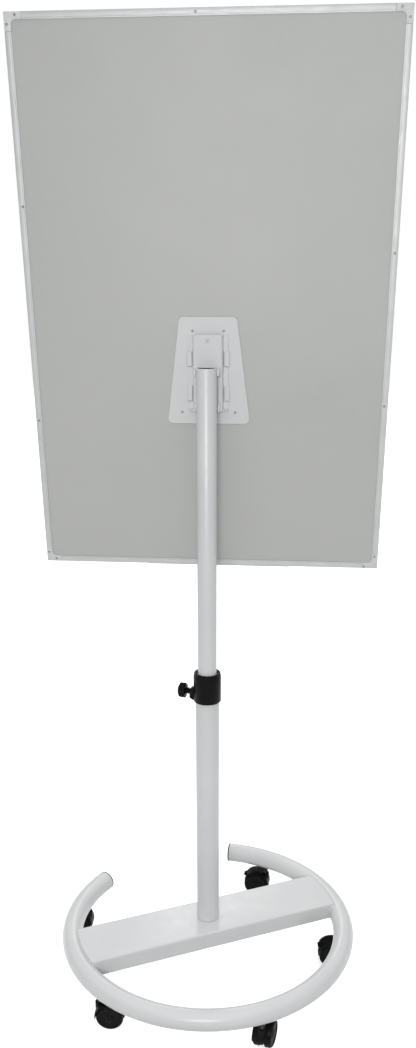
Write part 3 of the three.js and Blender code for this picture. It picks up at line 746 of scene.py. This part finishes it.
def pedal(name):
    """Brake pedal: a curved tongue with three grip ribs, sunk in the fender's slot."""
    top = [about_hub(34.6, 50), about_hub(35.2, 45), about_hub(35.6, 41)]
    for angle in (39.6, 37.8, 36):
        top += [about_hub(37.2, angle), about_hub(38.2, angle - 0.7), about_hub(37.4, angle - 1.5)]
    tip = [about_hub(39.6, 33.2), about_hub(39.3, 31.8), about_hub(36, 32)]
    under = [about_hub(31.8, 33), about_hub(31.8, 38), about_hub(31.8, 44), about_hub(31.8, 50)]
    return soften(prism(name, [Vector(p) for p in top + tip + under], -7.9, 7.9, axis="y"), 0.5)


shapes = {
    "hood_plain": hood("hood_plain", False),
    "hood_brake": hood("hood_brake", True),
    "wheel_left": wheel("wheel_left", 1),
    "wheel_right": wheel("wheel_right", -1),
    "axle": axle_pin("axle"),
    "post": post("post"),
    "pedal": pedal("pedal"),
}

for letter in "abcde":
    caster = f"caster_{letter}"
    place = caster_place(letter)
    brake = f"{caster}_brake" in frame["bodies"]
    hood_shape = shapes["hood_brake" if brake else "hood_plain"]
    fender = copy_of(hood_shape, f"{caster}_fender", place)
    settle(fender, caster, "black_plastic", BLACK, f"{caster}_hood")
    for hand in ("left", "right"):
        disc = copy_of(shapes[f"wheel_{hand}"], f"{caster}_disc_{hand}", place)
        settle(disc, f"{caster}_wheels", "wheel_plastic", WHEEL, f"{caster}_wheel_{hand}")
    pin = copy_of(shapes["axle"], f"{caster}_pin", place)
    settle(pin, f"{caster}_wheels", "bright_steel", BRIGHT_STEEL, f"{caster}_axle")
    stud = copy_of(shapes["post"], f"{caster}_stud", place)
    settle(stud, "base", "black_steel", BLACK_STEEL, f"{caster}_stem")
    if brake:
        lever = soften(copy_of(shapes["pedal"], f"{caster}_pedal", place), 0.5)
        settle(lever, f"{caster}_brake", "black_plastic", BLACK, f"{caster}_brake_lever")

for shape in shapes.values():
    bpy.data.objects.remove(shape)

# ---------- mast ----------


def mast_tube(name, node, outer, wall, chamfer=0.8):
    low, high = heights(node)
    inner = outer - wall
    profile = [
        (inner + 0.3, low),
        (outer - chamfer, low),
        (outer, low + chamfer),
        (outer, high - chamfer),
        (outer - 0.3 * chamfer, high - 0.3 * chamfer),
        (outer - chamfer, high),
        (inner + 0.3, high),
        (inner, high - 0.3),
        (inner, low + 0.3),
    ]
    return lathe(name, profile, None, 128)


def bore_shade_liner(name, node, radius):
    """A thin, nearly black steel skin inside the upper tube, from the glide plug up to the mouth: it stands
    for the unpainted bore and also paints the shade seen in the tube's mouth.
    """
    low = heights("mast_glide")[1] + 1
    high = heights(node)[1] - 1.2
    inner = radius - 0.3
    return lathe(name, [(inner, low), (radius, low), (radius, high), (inner, high)], None, 96)


def collar():
    bottom, top = heights("clamp_collar")
    ceiling = top - 3.9
    sleeve = lathe("collar_body", fillet([
        (LOWER_R + GAP, bottom, 0.3),
        (COLLAR_R, bottom, 1.4),
        (COLLAR_R, COLLAR_RIM, 1),
        (COLLAR_R - 1.1, COLLAR_RIM, 0.3),
        (COLLAR_R - 1.1, top, 2.2),
        (UPPER_R + 4.2, top, 1.2),
        (UPPER_R + 0.7, ceiling, 0.3),
        (LOWER_R + GAP, ceiling, 0.3),
    ], steps=4), None, 128)
    outline = fillet([
        (27, bottom + 0.6, 0),
        (COLLAR_R + 0.8, bottom + 0.6, 3),
        (BOSS_REACH, CLAMP_Z - 13, 2),
        (BOSS_REACH, CLAMP_Z + 6.5, 2),
        (COLLAR_R + 1.5, CLAMP_Z + 10, 3),
        (27, CLAMP_Z + 10, 0),
    ])
    boss = soften(prism("boss", outline, -9.5, 9.5, CLAMP_TURN, "y"), 2.2, 4, 50)
    combine(sleeve, "UNION", bake(boss))
    pocket = rod("pocket", 8.5, 20, LOWER_R + 2.2, CLAMP)
    thread = rod("thread", 4.3, 20, BOSS_REACH + 5, CLAMP)
    return combine(sleeve, "DIFFERENCE", pocket, thread)


def lobed(radius, height):
    """Outline of the star knob at one height: six lobes with round valleys between them."""
    loop = []
    for k in range(180):
        turn = 2 * math.pi * k / 180
        valley = (0.5 - 0.5 * math.cos(KNOB_LOBES * turn)) ** 1.6
        reach = radius - 2.6 * valley
        loop.append((reach * math.cos(turn), reach * math.sin(turn), height))
    return loop


def knob():
    low, high, edge = 47, 61.6, 3.2
    loops = [[(0, 0, low - 0.6)], lobed(KNOB_R - 5.5, low - 0.4)]
    quarter = [90 * DEG * k / 6 for k in range(7)]
    loops += [lobed(KNOB_R - edge + edge * math.sin(t), low + edge - edge * math.cos(t)) for t in quarter]
    loops += [lobed(KNOB_R - edge + edge * math.cos(t), high - edge + edge * math.sin(t)) for t in quarter]
    loops += [lobed(KNOB_R - 5.2, high), [(0, 0, high)]]
    star = skin("knob_star", loops, place=CLAMP)
    stalk = lathe("stalk", fillet([
        (0, LOWER_R - 0.7),
        (4, LOWER_R - 0.7, 0),
        (4, BOSS_REACH + 2.2, 0),
        (7, BOSS_REACH + 2.2, 0.4),
        (7.6, BOSS_REACH + 3.4, 0.5),
        (6, 43.6, 2),
        (11.5, 49.5, 2),
        (11.5, 62.4, 0.8),
        (10.2, 63.9, 0.8),
        (7.5, 63.9, 0.4),
        (7, 63.1, 0.4),
        (0, 63.1),
    ], closed=False), CLAMP, 72)
    return combine(star, "UNION", stalk)


lower = mast_tube("lower_tube", "lower_mast_tube", LOWER_R, LOWER_WALL)
combine(lower, "DIFFERENCE", rod("pad_hole", 8.5, 10, LOWER_R + 10, CLAMP))
settle(lower, "base", "white_powder_coat", WHITE, "lower_mast_tube")
upper = mast_tube("upper_tube", "upper_mast_tube", UPPER_R, UPPER_WALL)
settle(upper, "board", "white_powder_coat", WHITE, "upper_mast_tube")
# Nearly black skin in the upper tube's bore: the unpainted inside, made dark to paint the shade in the tube's
# mouth.
bore = bore_shade_liner("upper_tube_shade_liner", "upper_mast_tube", UPPER_R - UPPER_WALL - 0.01)
settle(bore, "board", "black_steel", BLACK_STEEL)
settle(collar(), "base", "black_plastic", BLACK, "clamp_collar")
settle(knob(), "clamp_knob", "black_plastic", BLACK, "clamp_knob")

# ---------- board ----------

HALF_W = BOARD_W / 2
HALF_H = BOARD_H / 2
HANDS = ((1, "right"), (-1, "left"))
LOCK = BOARD @ shift(0, 0, LOCK_Z) @ ALONG_Y
RAIL = [
    (0, 0, 0.5),
    (FLANGE, 0, 0.35),
    (FLANGE, -0.7, 0),
    (FLANGE + LIP, -0.7, 0.3),
    (FLANGE + LIP, -FLANGE_T, 0.2),
    (FRAME_WALL, -FLANGE_T, 0.4),
    (FRAME_WALL, -FRAME_DEPTH + FLANGE_T, 0.4),
    (FLANGE + LIP, -FRAME_DEPTH + FLANGE_T, 0.3),
    (FLANGE + LIP, -FRAME_DEPTH, 0.7),
    (0, -FRAME_DEPTH, 0.7),
]


def rail(name, out, reach, upright, sign):
    """Frame rail of that section, its outer wall at out, running from -reach to reach."""
    section = fillet(RAIL, steps=3)
    if upright:
        outline = [(sign * (out - inward), depth) for inward, depth in section]
        return prism(name, outline, -reach, reach, BOARD, "z")
    outline = [(depth, sign * (out - inward)) for inward, depth in section]
    return prism(name, outline, -reach, reach, BOARD, "x")


def right_angle(width, outer, inner):
    return fillet([
        (HALF_W, HALF_H, outer),
        (HALF_W - CORNER, HALF_H, 0.4),
        (HALF_W - CORNER, HALF_H - width, 0.4),
        (HALF_W - width, HALF_H - width, inner),
        (HALF_W - width, HALF_H - CORNER, 0.4),
        (HALF_W, HALF_H - CORNER, 0.4),
    ], steps=8)


def corner(name, mirror_x, mirror_z):
    """Moulded corner: an outer wall between a back and a front flange, with a curved inner edge."""
    reach = FLANGE + LIP
    outline = right_angle(FRAME_WALL, CORNER_R, CORNER_R - FRAME_WALL)
    wall = prism(name, outline, -FRAME_DEPTH + 0.5, -0.5, axis="y")
    back = bake(soften(prism("back", right_angle(reach, CORNER_R, 9), -FLANGE_T, 0, axis="y"), 0.35))
    front = prism("front", right_angle(reach, CORNER_R, 9), -FRAME_DEPTH, -FRAME_DEPTH + FLANGE_T, axis="y")
    combine(wall, "UNION", back, bake(soften(front, 0.5)))
    wall.data.transform(Matrix.Diagonal((mirror_x, 1, mirror_z, 1)))
    wall.data.transform(BOARD)
    return shade(face_outwards(wall))


RAIL_REACH_X = HALF_W - CORNER - GAP
RAIL_REACH_Z = HALF_H - CORNER - GAP
for name, out, reach, upright, sign in (
    ("top", HALF_H, RAIL_REACH_X, False, 1),
    ("bottom", HALF_H, RAIL_REACH_X, False, -1),
    ("right", HALF_W, RAIL_REACH_Z, True, 1),
    ("left", HALF_W, RAIL_REACH_Z, True, -1),
):
    drawn = DRAWN_UP if upright else DRAWN_ACROSS
    piece = rail(f"rail_{name}", out, reach, upright, sign)
    settle(piece, "board", "frame_aluminium", drawn, f"frame_rail_{name}")
for name, mirror_x, mirror_z in (
    ("top_right", 1, 1),
    ("top_left", -1, 1),
    ("bottom_right", 1, -1),
    ("bottom_left", -1, -1),
):
    piece = corner(f"corner_{name}", mirror_x, mirror_z)
    settle(piece, "board", "corner_plastic", CORNER_LOOK, f"frame_corner_{name}")


def pan_screw(name, radius, height):
    """Pan head with a cross recess, standing on its Z = 0."""
    head = lathe(name, fillet([
        (0, -1.2),
        (radius * 0.5, -1.2, 0),
        (radius * 0.5, 0, 0),
        (radius, 0, 0.1),
        (radius, height * 0.45, height * 0.4),
        (radius * 0.55, height, height * 0.5),
        (0, height),
    ], closed=False), None, 40)
    arm, slot = radius * 0.55, radius * 0.13
    cross = [(arm, slot), (slot, slot), (slot, arm), (-slot, arm), (-slot, slot), (-arm, slot)]
    cross += [(-x, -y) for x, y in cross]
    recess = prism("recess", cross, height * 0.25, height + 1)
    return combine(head, "DIFFERENCE", recess)


def screw_place(x, z, depth, turn):
    """On a face of the board's back side at that depth, its head towards the back."""
    return BOARD @ shift(x, depth, z) @ ALONG_Y @ spin(turn, "Z")


draw = random.Random(5)
frame_screw = pan_screw("frame_screw_shape", 2.3, 1.1)
SCREW_GROUPS = {
    "top right corner": ((330, 495), (345, 481)),
    "top left corner": ((-330, 495), (-344, 480)),
    "top rail": ((17, 494),),
    "side rails, upper": ((-344, 112), (342, 193)),
    "side rails, lower": ((-343, -165), (344, -201)),
    "bottom left corner": ((-343, -474), (-322, -497)),
    "bottom right corner": ((345, -480), (330, -494)),
}
frame_screws = [place for group in SCREW_GROUPS.values() for place in group]
for number, (x, z) in enumerate(frame_screws, 1):
    piece = copy_of(frame_screw, f"frame_screw_{number}", screw_place(x, z, 0, draw.uniform(0, 90)))
    settle(piece, "board", "bright_steel", SCREW_STEEL)
bpy.data.objects.remove(frame_screw)


def plate_sheet():
    outline = fillet([
        (-PLATE_BOTTOM_HALF, PLATE_BOTTOM),
        (PLATE_BOTTOM_HALF, PLATE_BOTTOM),
        (PLATE_TOP_HALF, 0),
        (-PLATE_TOP_HALF, 0),
    ], PLATE_CORNER, 10)
    plate = prism("plate_sheet", outline, PLATE_FACE - PLATE_T, PLATE_FACE, BOARD, "y")
    return soften(combine(plate, "DIFFERENCE", rod("hole", 3, -20, 20, LOCK, 32)), 0.7, 3)


def plate_tab(name, side, low, high):
    """Tab bent up from the plate and over a side flange of the bracket."""
    under = PLATE_FACE + GAP + SHEET + GAP
    top = under + 2.2
    section = fillet([
        (side * 39.5, PLATE_FACE - 0.4, 0),
        (side * 42, PLATE_FACE - 0.4, 0),
        (side * 42, top, 2.6),
        (side * TAB_INSIDE, top, 0.3),
        (side * TAB_INSIDE, under, 0.3),
        (side * 39.5, under, 0.4),
    ])
    return soften(prism(name, section, low, high, BOARD, "z"), 0.35)


def bracket_channel():
    """Folded channel, open at its top: two side flanges, two risers and the web between them."""
    foot = PLATE_FACE + GAP
    section = fillet([
        (-BRACKET_HALF, foot, 0.3),
        (-FOOT_HALF + SHEET, foot, 0.6),
        (-WEB_HALF + SHEET, BRACKET_RISE - SHEET, 1),
        (WEB_HALF - SHEET, BRACKET_RISE - SHEET, 1),
        (FOOT_HALF - SHEET, foot, 0.6),
        (BRACKET_HALF, foot, 0.3),
        (BRACKET_HALF, foot + SHEET, 0.3),
        (FOOT_HALF, foot + SHEET, 1),
        (WEB_HALF, BRACKET_RISE, 3),
        (-WEB_HALF, BRACKET_RISE, 3),
        (-FOOT_HALF, foot + SHEET, 1),
        (-BRACKET_HALF, foot + SHEET, 0.3),
    ])
    channel = prism("bracket_channel", section, BRACKET_BOTTOM, BRACKET_TOP, BOARD, "z")
    combine(channel, "DIFFERENCE", rod("hole", 3, 5, 30, LOCK, 32))
    for low, high in TABS:
        for side in (1, -1):
            for reach, top in ((BRACKET_HALF + 1, low + 0.6), (TAB_INSIDE + 0.2, high)):
                edges = sorted((side * (FOOT_HALF + 0.4), side * reach))
                outline = [(edges[0], 0), (edges[1], 0), (edges[1], 9), (edges[0], 9)]
                combine(channel, "DIFFERENCE", prism("notch", outline, low - NOTCH, top, BOARD, "z"))
    return soften(channel, 0.3)


def bracket_cheek(name, side):
    """Plate beside the mast tube, welded to the web: an ear at its top, another at its bottom."""
    outline = fillet([
        (BRACKET_RISE - 1, -90, 0),
        (BRACKET_RISE - 1, -173, 0),
        (34, -173, 2),
        (34, -160, 2),
        (22, -157, 3),
        (22, -106, 3),
        (44, -103, 2),
        (44, -92, 3),
        (30, -90, 4),
    ], steps=7)
    middle = side * 22.4
    return soften(prism(name, outline, middle - 1.9, middle + 1.9, BOARD, "x"), 0.5)


def bracket_shelf():
    """Lower lip of the bracket, notched round the mast tube."""
    outline = fillet([
        (-BRACKET_HALF, PLATE_FACE + GAP, 0),
        (BRACKET_HALF, PLATE_FACE + GAP, 0),
        (BRACKET_HALF - 1, 9, 4),
        (30, 16, 7),
        (24.5, 19, 3),
        (20, 24, 2),
        (-20, 24, 2),
        (-24.5, 19, 3),
        (-30, 16, 7),
        (-BRACKET_HALF + 1, 9, 4),
    ], steps=6)
    shelf = prism("bracket_shelf", outline, BRACKET_BOTTOM - 0.05, BRACKET_BOTTOM + SHEET, BOARD, "z")
    mast = rod("mast", UPPER_R + GAP, 1000, 1600, None, 96)
    return soften(combine(shelf, "DIFFERENCE", mast), 0.4)


settle(plate_sheet(), "board", "white_powder_coat", WHITE, "mounting_plate")
for row, (low, high) in enumerate(TABS, 1):
    for side, hand in HANDS:
        settle(plate_tab(f"plate_tab_{hand}_{row}", side, low, high), "board", "white_powder_coat", WHITE)
settle(bracket_channel(), "board", "white_powder_coat", WHITE, "head_bracket")
settle(bracket_shelf(), "board", "white_powder_coat", WHITE)
for side, hand in HANDS:
    settle(bracket_cheek(f"bracket_cheek_{hand}", side), "board", "white_powder_coat", WHITE)

plate_screw = pan_screw("plate_screw_shape", 2.4, 1.1)
PLATE_SCREWS = {"upper pair": ((30, -25.5), (-30, -25.5)), "lower pair": ((52.5, -180), (-52.5, -180))}
plate_screws = [place for group in PLATE_SCREWS.values() for place in group]
for number, (x, z) in enumerate(plate_screws, 1):
    piece = copy_of(plate_screw, f"plate_screw_{number}", screw_place(x, z, PLATE_FACE, draw.uniform(0, 90)))
    settle(piece, "board", "bright_steel", SCREW_STEEL)
bpy.data.objects.remove(plate_screw)


def lock_screw():
    """Screw through the web and the plate that keeps the bracket on its tabs."""
    head = BRACKET_RISE + GAP
    screw = lathe("lock_screw_turned", fillet([
        (0, -1),
        (2.5, -1, 0),
        (2.5, head, 0),
        (4.5, head, 0.1),
        (4.5, head + 0.9, 0.8),
        (2.6, head + 2.1, 0.8),
        (0, head + 2.1),
    ], closed=False), LOCK, 48)
    socket = [(1.7 * math.cos(k * 60 * DEG), 1.7 * math.sin(k * 60 * DEG)) for k in range(6)]
    return combine(screw, "DIFFERENCE", prism("recess", socket, head - 2, head + 4, LOCK))


settle(lock_screw(), "board", "bright_steel", ZINC, "lock_screw")

# ---------- writing side ----------

HINGE = BOARD @ shift(0, HINGE_Y, HINGE_Z) @ ALONG_X
FRONT = -FRAME_DEPTH - GAP
TRAY_FRONT = FRONT - TRAY_DEPTH


def pen_tray():
    """Shallow channel with a hemmed front edge, closed at both ends."""
    back, front, sheet = FRONT, TRAY_FRONT, 2
    section = fillet([
        (back, TRAY_BOTTOM, 2.2),
        (back, TRAY_BOTTOM + 30, 0.5),
        (back - sheet, TRAY_BOTTOM + 30, 0.5),
        (back - sheet, TRAY_BOTTOM + sheet, 1.5),
        (front + sheet, TRAY_BOTTOM + sheet, 3),
        (front + sheet, TRAY_BOTTOM + 14, 0.4),
        (front + sheet + 1.2, TRAY_BOTTOM + 14.5, 0.5),
        (front + sheet, TRAY_BOTTOM + 15.8, 0.7),
        (front, TRAY_BOTTOM + 15, 0.8),
        (front, TRAY_BOTTOM, 4.5),
    ])
    reach = TRAY_HALF - 1
    return soften(prism("tray_channel", section, TRAY_X - reach, TRAY_X + reach, BOARD, "x"), 0.3)


def tray_end(name, side):
    outline = fillet([
        (FRONT, TRAY_BOTTOM, 2.2),
        (TRAY_FRONT, TRAY_BOTTOM, 4.5),
        (TRAY_FRONT, TRAY_BOTTOM + 15, 2),
        (FRONT - 14, TRAY_BOTTOM + 15, 6),
        (FRONT - 4, TRAY_BOTTOM + 29, 4),
        (FRONT, TRAY_BOTTOM + 29, 0.5),
    ])
    edge = TRAY_X + side * TRAY_HALF
    inner = edge - side * 2.6
    return soften(prism(name, outline, min(edge, inner), max(edge, inner), BOARD, "x"), 0.6, 3)


def pad_rail():
    """Drawn strip with an undercut groove that the pegs slide in."""
    face = FRONT - 6
    section = fillet([
        (FRONT, PAD_RAIL_Z - 15, 0.5),
        (face, PAD_RAIL_Z - 15, 1.5),
        (face, PAD_RAIL_Z - 4, 0.4),
        (FRONT - 1.5, PAD_RAIL_Z - 4, 0.3),
        (FRONT - 1.5, PAD_RAIL_Z + 4, 0.3),
        (face, PAD_RAIL_Z + 4, 0.4),
        (face, PAD_RAIL_Z + 15, 1.5),
        (FRONT, PAD_RAIL_Z + 15, 0.5),
    ])
    return soften(prism("pad_rail_strip", section, -PAD_RAIL_HALF + 4, PAD_RAIL_HALF - 4, BOARD, "x"), 0.3)


def rail_ear(name, side):
    """End of the pad rail, with the bearing of the clamp bar's pin."""
    outline = fillet([
        (FRONT, PAD_RAIL_Z - 15, 0.5),
        (FRONT, HINGE_Z + 6, 1),
        (HINGE_Y - 5, HINGE_Z + 6, 5),
        (HINGE_Y - 5, HINGE_Z - 5, 3),
        (FRONT - 6, PAD_RAIL_Z + 8, 2),
        (FRONT - 6, PAD_RAIL_Z - 15, 1.5),
    ])
    outer = side * PAD_RAIL_HALF
    ear = prism(name, outline, min(outer, outer - 4 * side), max(outer, outer - 4 * side), BOARD, "x")
    return soften(combine(ear, "DIFFERENCE", rod("bore", 2.3, -320, 320, HINGE, 32)), 0.4)


def clamp_bar():
    """Arched spring strip that hangs from its barrel and holds the pad against the rail."""
    half = PAD_RAIL_HALF - 4.3
    y, z = HINGE_Y, HINGE_Z
    outline = fillet([
        (y, z + 3.6, 0),
        (y + 1.5, z - 1, 0),
        (y - 18.6, z - 7, 5),
        (y - 19.4, z - 47.5, 3),
        (y - 1.8, z - 53.4, 0.6),
        (y - 1.8, z - 56, 1),
        (y - 22, z - 50, 4.5),
        (y - 22, z - 4.4, 7),
    ], steps=7)
    arch = prism("clamp_bar_arch", outline, -half, half, BOARD, "x")
    barrel = rod("barrel", 4, -half, half, HINGE)
    pin = rod("pin", 2.1, -half - 3.5, half + 3.5, HINGE, 32)
    return combine(arch, "UNION", barrel, pin)


def pad_peg(name, x):
    """Peg with a mushroom head on a shoe that slides in the rail's groove."""
    floor = -FRAME_DEPTH - 2.1
    outline = [(x - 9, floor - 4), (x + 9, floor - 4), (x + 9, floor), (x - 9, floor)]
    shoe = bake(soften(prism(name, outline, PAD_RAIL_Z - 3.7, PAD_RAIL_Z + 3.7, BOARD, "z"), 0.5))
    stud = lathe("stud", fillet([
        (0, 0),
        (3.5, 0, 0),
        (3.5, 12.6, 0.8),
        (6, 13.6, 0.5),
        (6.2, 15.6, 0.8),
        (4.5, 17, 1),
        (0, 17),
    ], closed=False), BOARD @ shift(x, floor - 3, PAD_RAIL_Z) @ spin(90, "X"), 48)
    return combine(shoe, "UNION", stud)


settle(pen_tray(), "board", "frame_aluminium", DRAWN_ACROSS, "pen_tray")
settle(pad_rail(), "board", "frame_aluminium", DRAWN_ACROSS, "pad_rail")
for side, hand in HANDS:
    settle(tray_end(f"tray_end_{hand}", side), "board", "frame_aluminium", DRAWN_ACROSS)
    settle(rail_ear(f"pad_rail_ear_{hand}", side), "board", "frame_aluminium", DRAWN_ACROSS)
    peg = pad_peg(f"peg_{hand}", side * PEG_X)
    settle(peg, f"pad_peg_{hand}", "sliding_plastic", NYLON, f"pad_peg_{hand}")
settle(clamp_bar(), "pad_clamp", "frame_aluminium", DRAWN_ACROSS, "pad_clamp_bar")

# ---------- CAD nodes that stay ----------

KEPT = {
    "back_panel": SHEET_LOOK,
    "board_core": CORE,
    "writing_surface": LACQUER,
    "mast_foot_plug": BRIGHT_STEEL,
    "mast_bolt": BRIGHT_STEEL,
    "mast_bush": NYLON,
    "clamp_pad": NYLON,
    "mast_glide": NYLON,
}
for node, look in KEPT.items():
    kept = frame["nodes"][node]
    for slot in kept.material_slots:
        slot.material = look

# ---------- stage ----------

SKY_LOW = 0.34
SKY_HIGH = 1.13
FLOOR_HALF = 12000
KEY_PLACE = (-0.05, 3.1, 1.85)
KEY_TARGET = (0, 0, 1.2)
KEY_SIZE = (0.8, 0.8)
KEY_POWER = 35
FRONT_PLACE = (0.35, -3.2, 2.3)
FRONT_TARGET = (0, 0, 0.6)
FRONT_SIZE = (0.5, 0.35)
FRONT_POWER = 8
CAMERA_PLACE = (-0.1857, 1.9341, 1.5435)
CAMERA_HEADING = 4.985 * DEG
CAMERA_PITCH = 20.898 * DEG
CAMERA_LENS = 33.88
CAMERA_SHIFT = (-0.0069, 0.1177)


def floor():
    """Plain pale floor. Diffuse light passes it, so that the sky's low half lights the undersides."""
    size = FLOOR_HALF
    corners = [(-size, -size, 0), (size, -size, 0), (size, size, 0), (-size, size, 0)]
    piece = new_piece("floor", corners, [(0, 1, 2, 3)])
    look = Finish("floor", Roughness=0.9, Emission_Strength=0.6)
    look.colour(look.ramp(look.noise(3), (0.93, 0.93, 0.93), (0.95, 0.95, 0.95)))
    look.surface.inputs["Emission Color"].default_value = (1, 1, 1, 1)
    piece.data.materials.append(look.material)
    piece.visible_diffuse = False


def softbox(name, place, target, size, power):
    data = bpy.data.lights.new(name, "AREA")
    data.shape = "RECTANGLE"
    data.size, data.size_y = size
    data.energy = power
    lamp = bpy.data.objects.new(name, data)
    bpy.context.scene.collection.objects.link(lamp)
    lamp.location = place
    lamp.rotation_mode = "QUATERNION"
    lamp.rotation_quaternion = (Vector(target) - Vector(place)).to_track_quat("-Z", "Y")
    lamp.visible_camera = False


def backdrop():
    """White to look at. As light it is an overcast sky, dimmer round the horizon and below it."""
    world = bpy.data.worlds.new("studio")
    world.use_nodes = True
    nodes, links = world.node_tree.nodes, world.node_tree.links
    direction = nodes.new("ShaderNodeTexCoord")
    split = nodes.new("ShaderNodeSeparateXYZ")
    links.new(direction.outputs["Generated"], split.inputs["Vector"])
    sky = nodes.new("ShaderNodeMapRange")
    for socket, value in zip(("From Min", "From Max", "To Min", "To Max"), (0, 1, SKY_LOW, SKY_HIGH)):
        sky.inputs[socket].default_value = value
    links.new(split.outputs["Z"], sky.inputs["Value"])
    lit = nodes["Background"]
    lit.inputs["Color"].default_value = (1, 1, 1, 1)
    links.new(sky.outputs["Result"], lit.inputs["Strength"])
    seen = nodes.new("ShaderNodeBackground")
    seen.inputs["Color"].default_value = (1, 1, 1, 1)
    either = nodes.new("ShaderNodeMixShader")
    links.new(nodes.new("ShaderNodeLightPath").outputs["Is Camera Ray"], either.inputs["Fac"])
    links.new(lit.outputs["Background"], either.inputs[1])
    links.new(seen.outputs["Background"], either.inputs[2])
    links.new(either.outputs["Shader"], nodes["World Output"].inputs["Surface"])
    bpy.context.scene.world = world


def camera():
    """Standing behind the board and a little to its left, looking down on it."""
    data = bpy.data.cameras.new("camera")
    data.sensor_width = 36
    data.lens = CAMERA_LENS
    data.shift_x, data.shift_y = CAMERA_SHIFT
    data.clip_end = 100
    lens = bpy.data.objects.new("camera", data)
    bpy.context.scene.collection.objects.link(lens)
    lens.location = CAMERA_PLACE
    level = math.cos(CAMERA_PITCH)
    forward = Vector((
        math.sin(CAMERA_HEADING) * level,
        -math.cos(CAMERA_HEADING) * level,
        -math.sin(CAMERA_PITCH),
    ))
    lens.rotation_mode = "QUATERNION"
    lens.rotation_quaternion = forward.to_track_quat("-Z", "Y")
    bpy.context.scene.camera = lens


floor()
backdrop()
softbox("key", KEY_PLACE, KEY_TARGET, KEY_SIZE, KEY_POWER)
softbox("front", FRONT_PLACE, FRONT_TARGET, FRONT_SIZE, FRONT_POWER)
camera()
bpy.context.scene.view_settings.view_transform = "Standard"
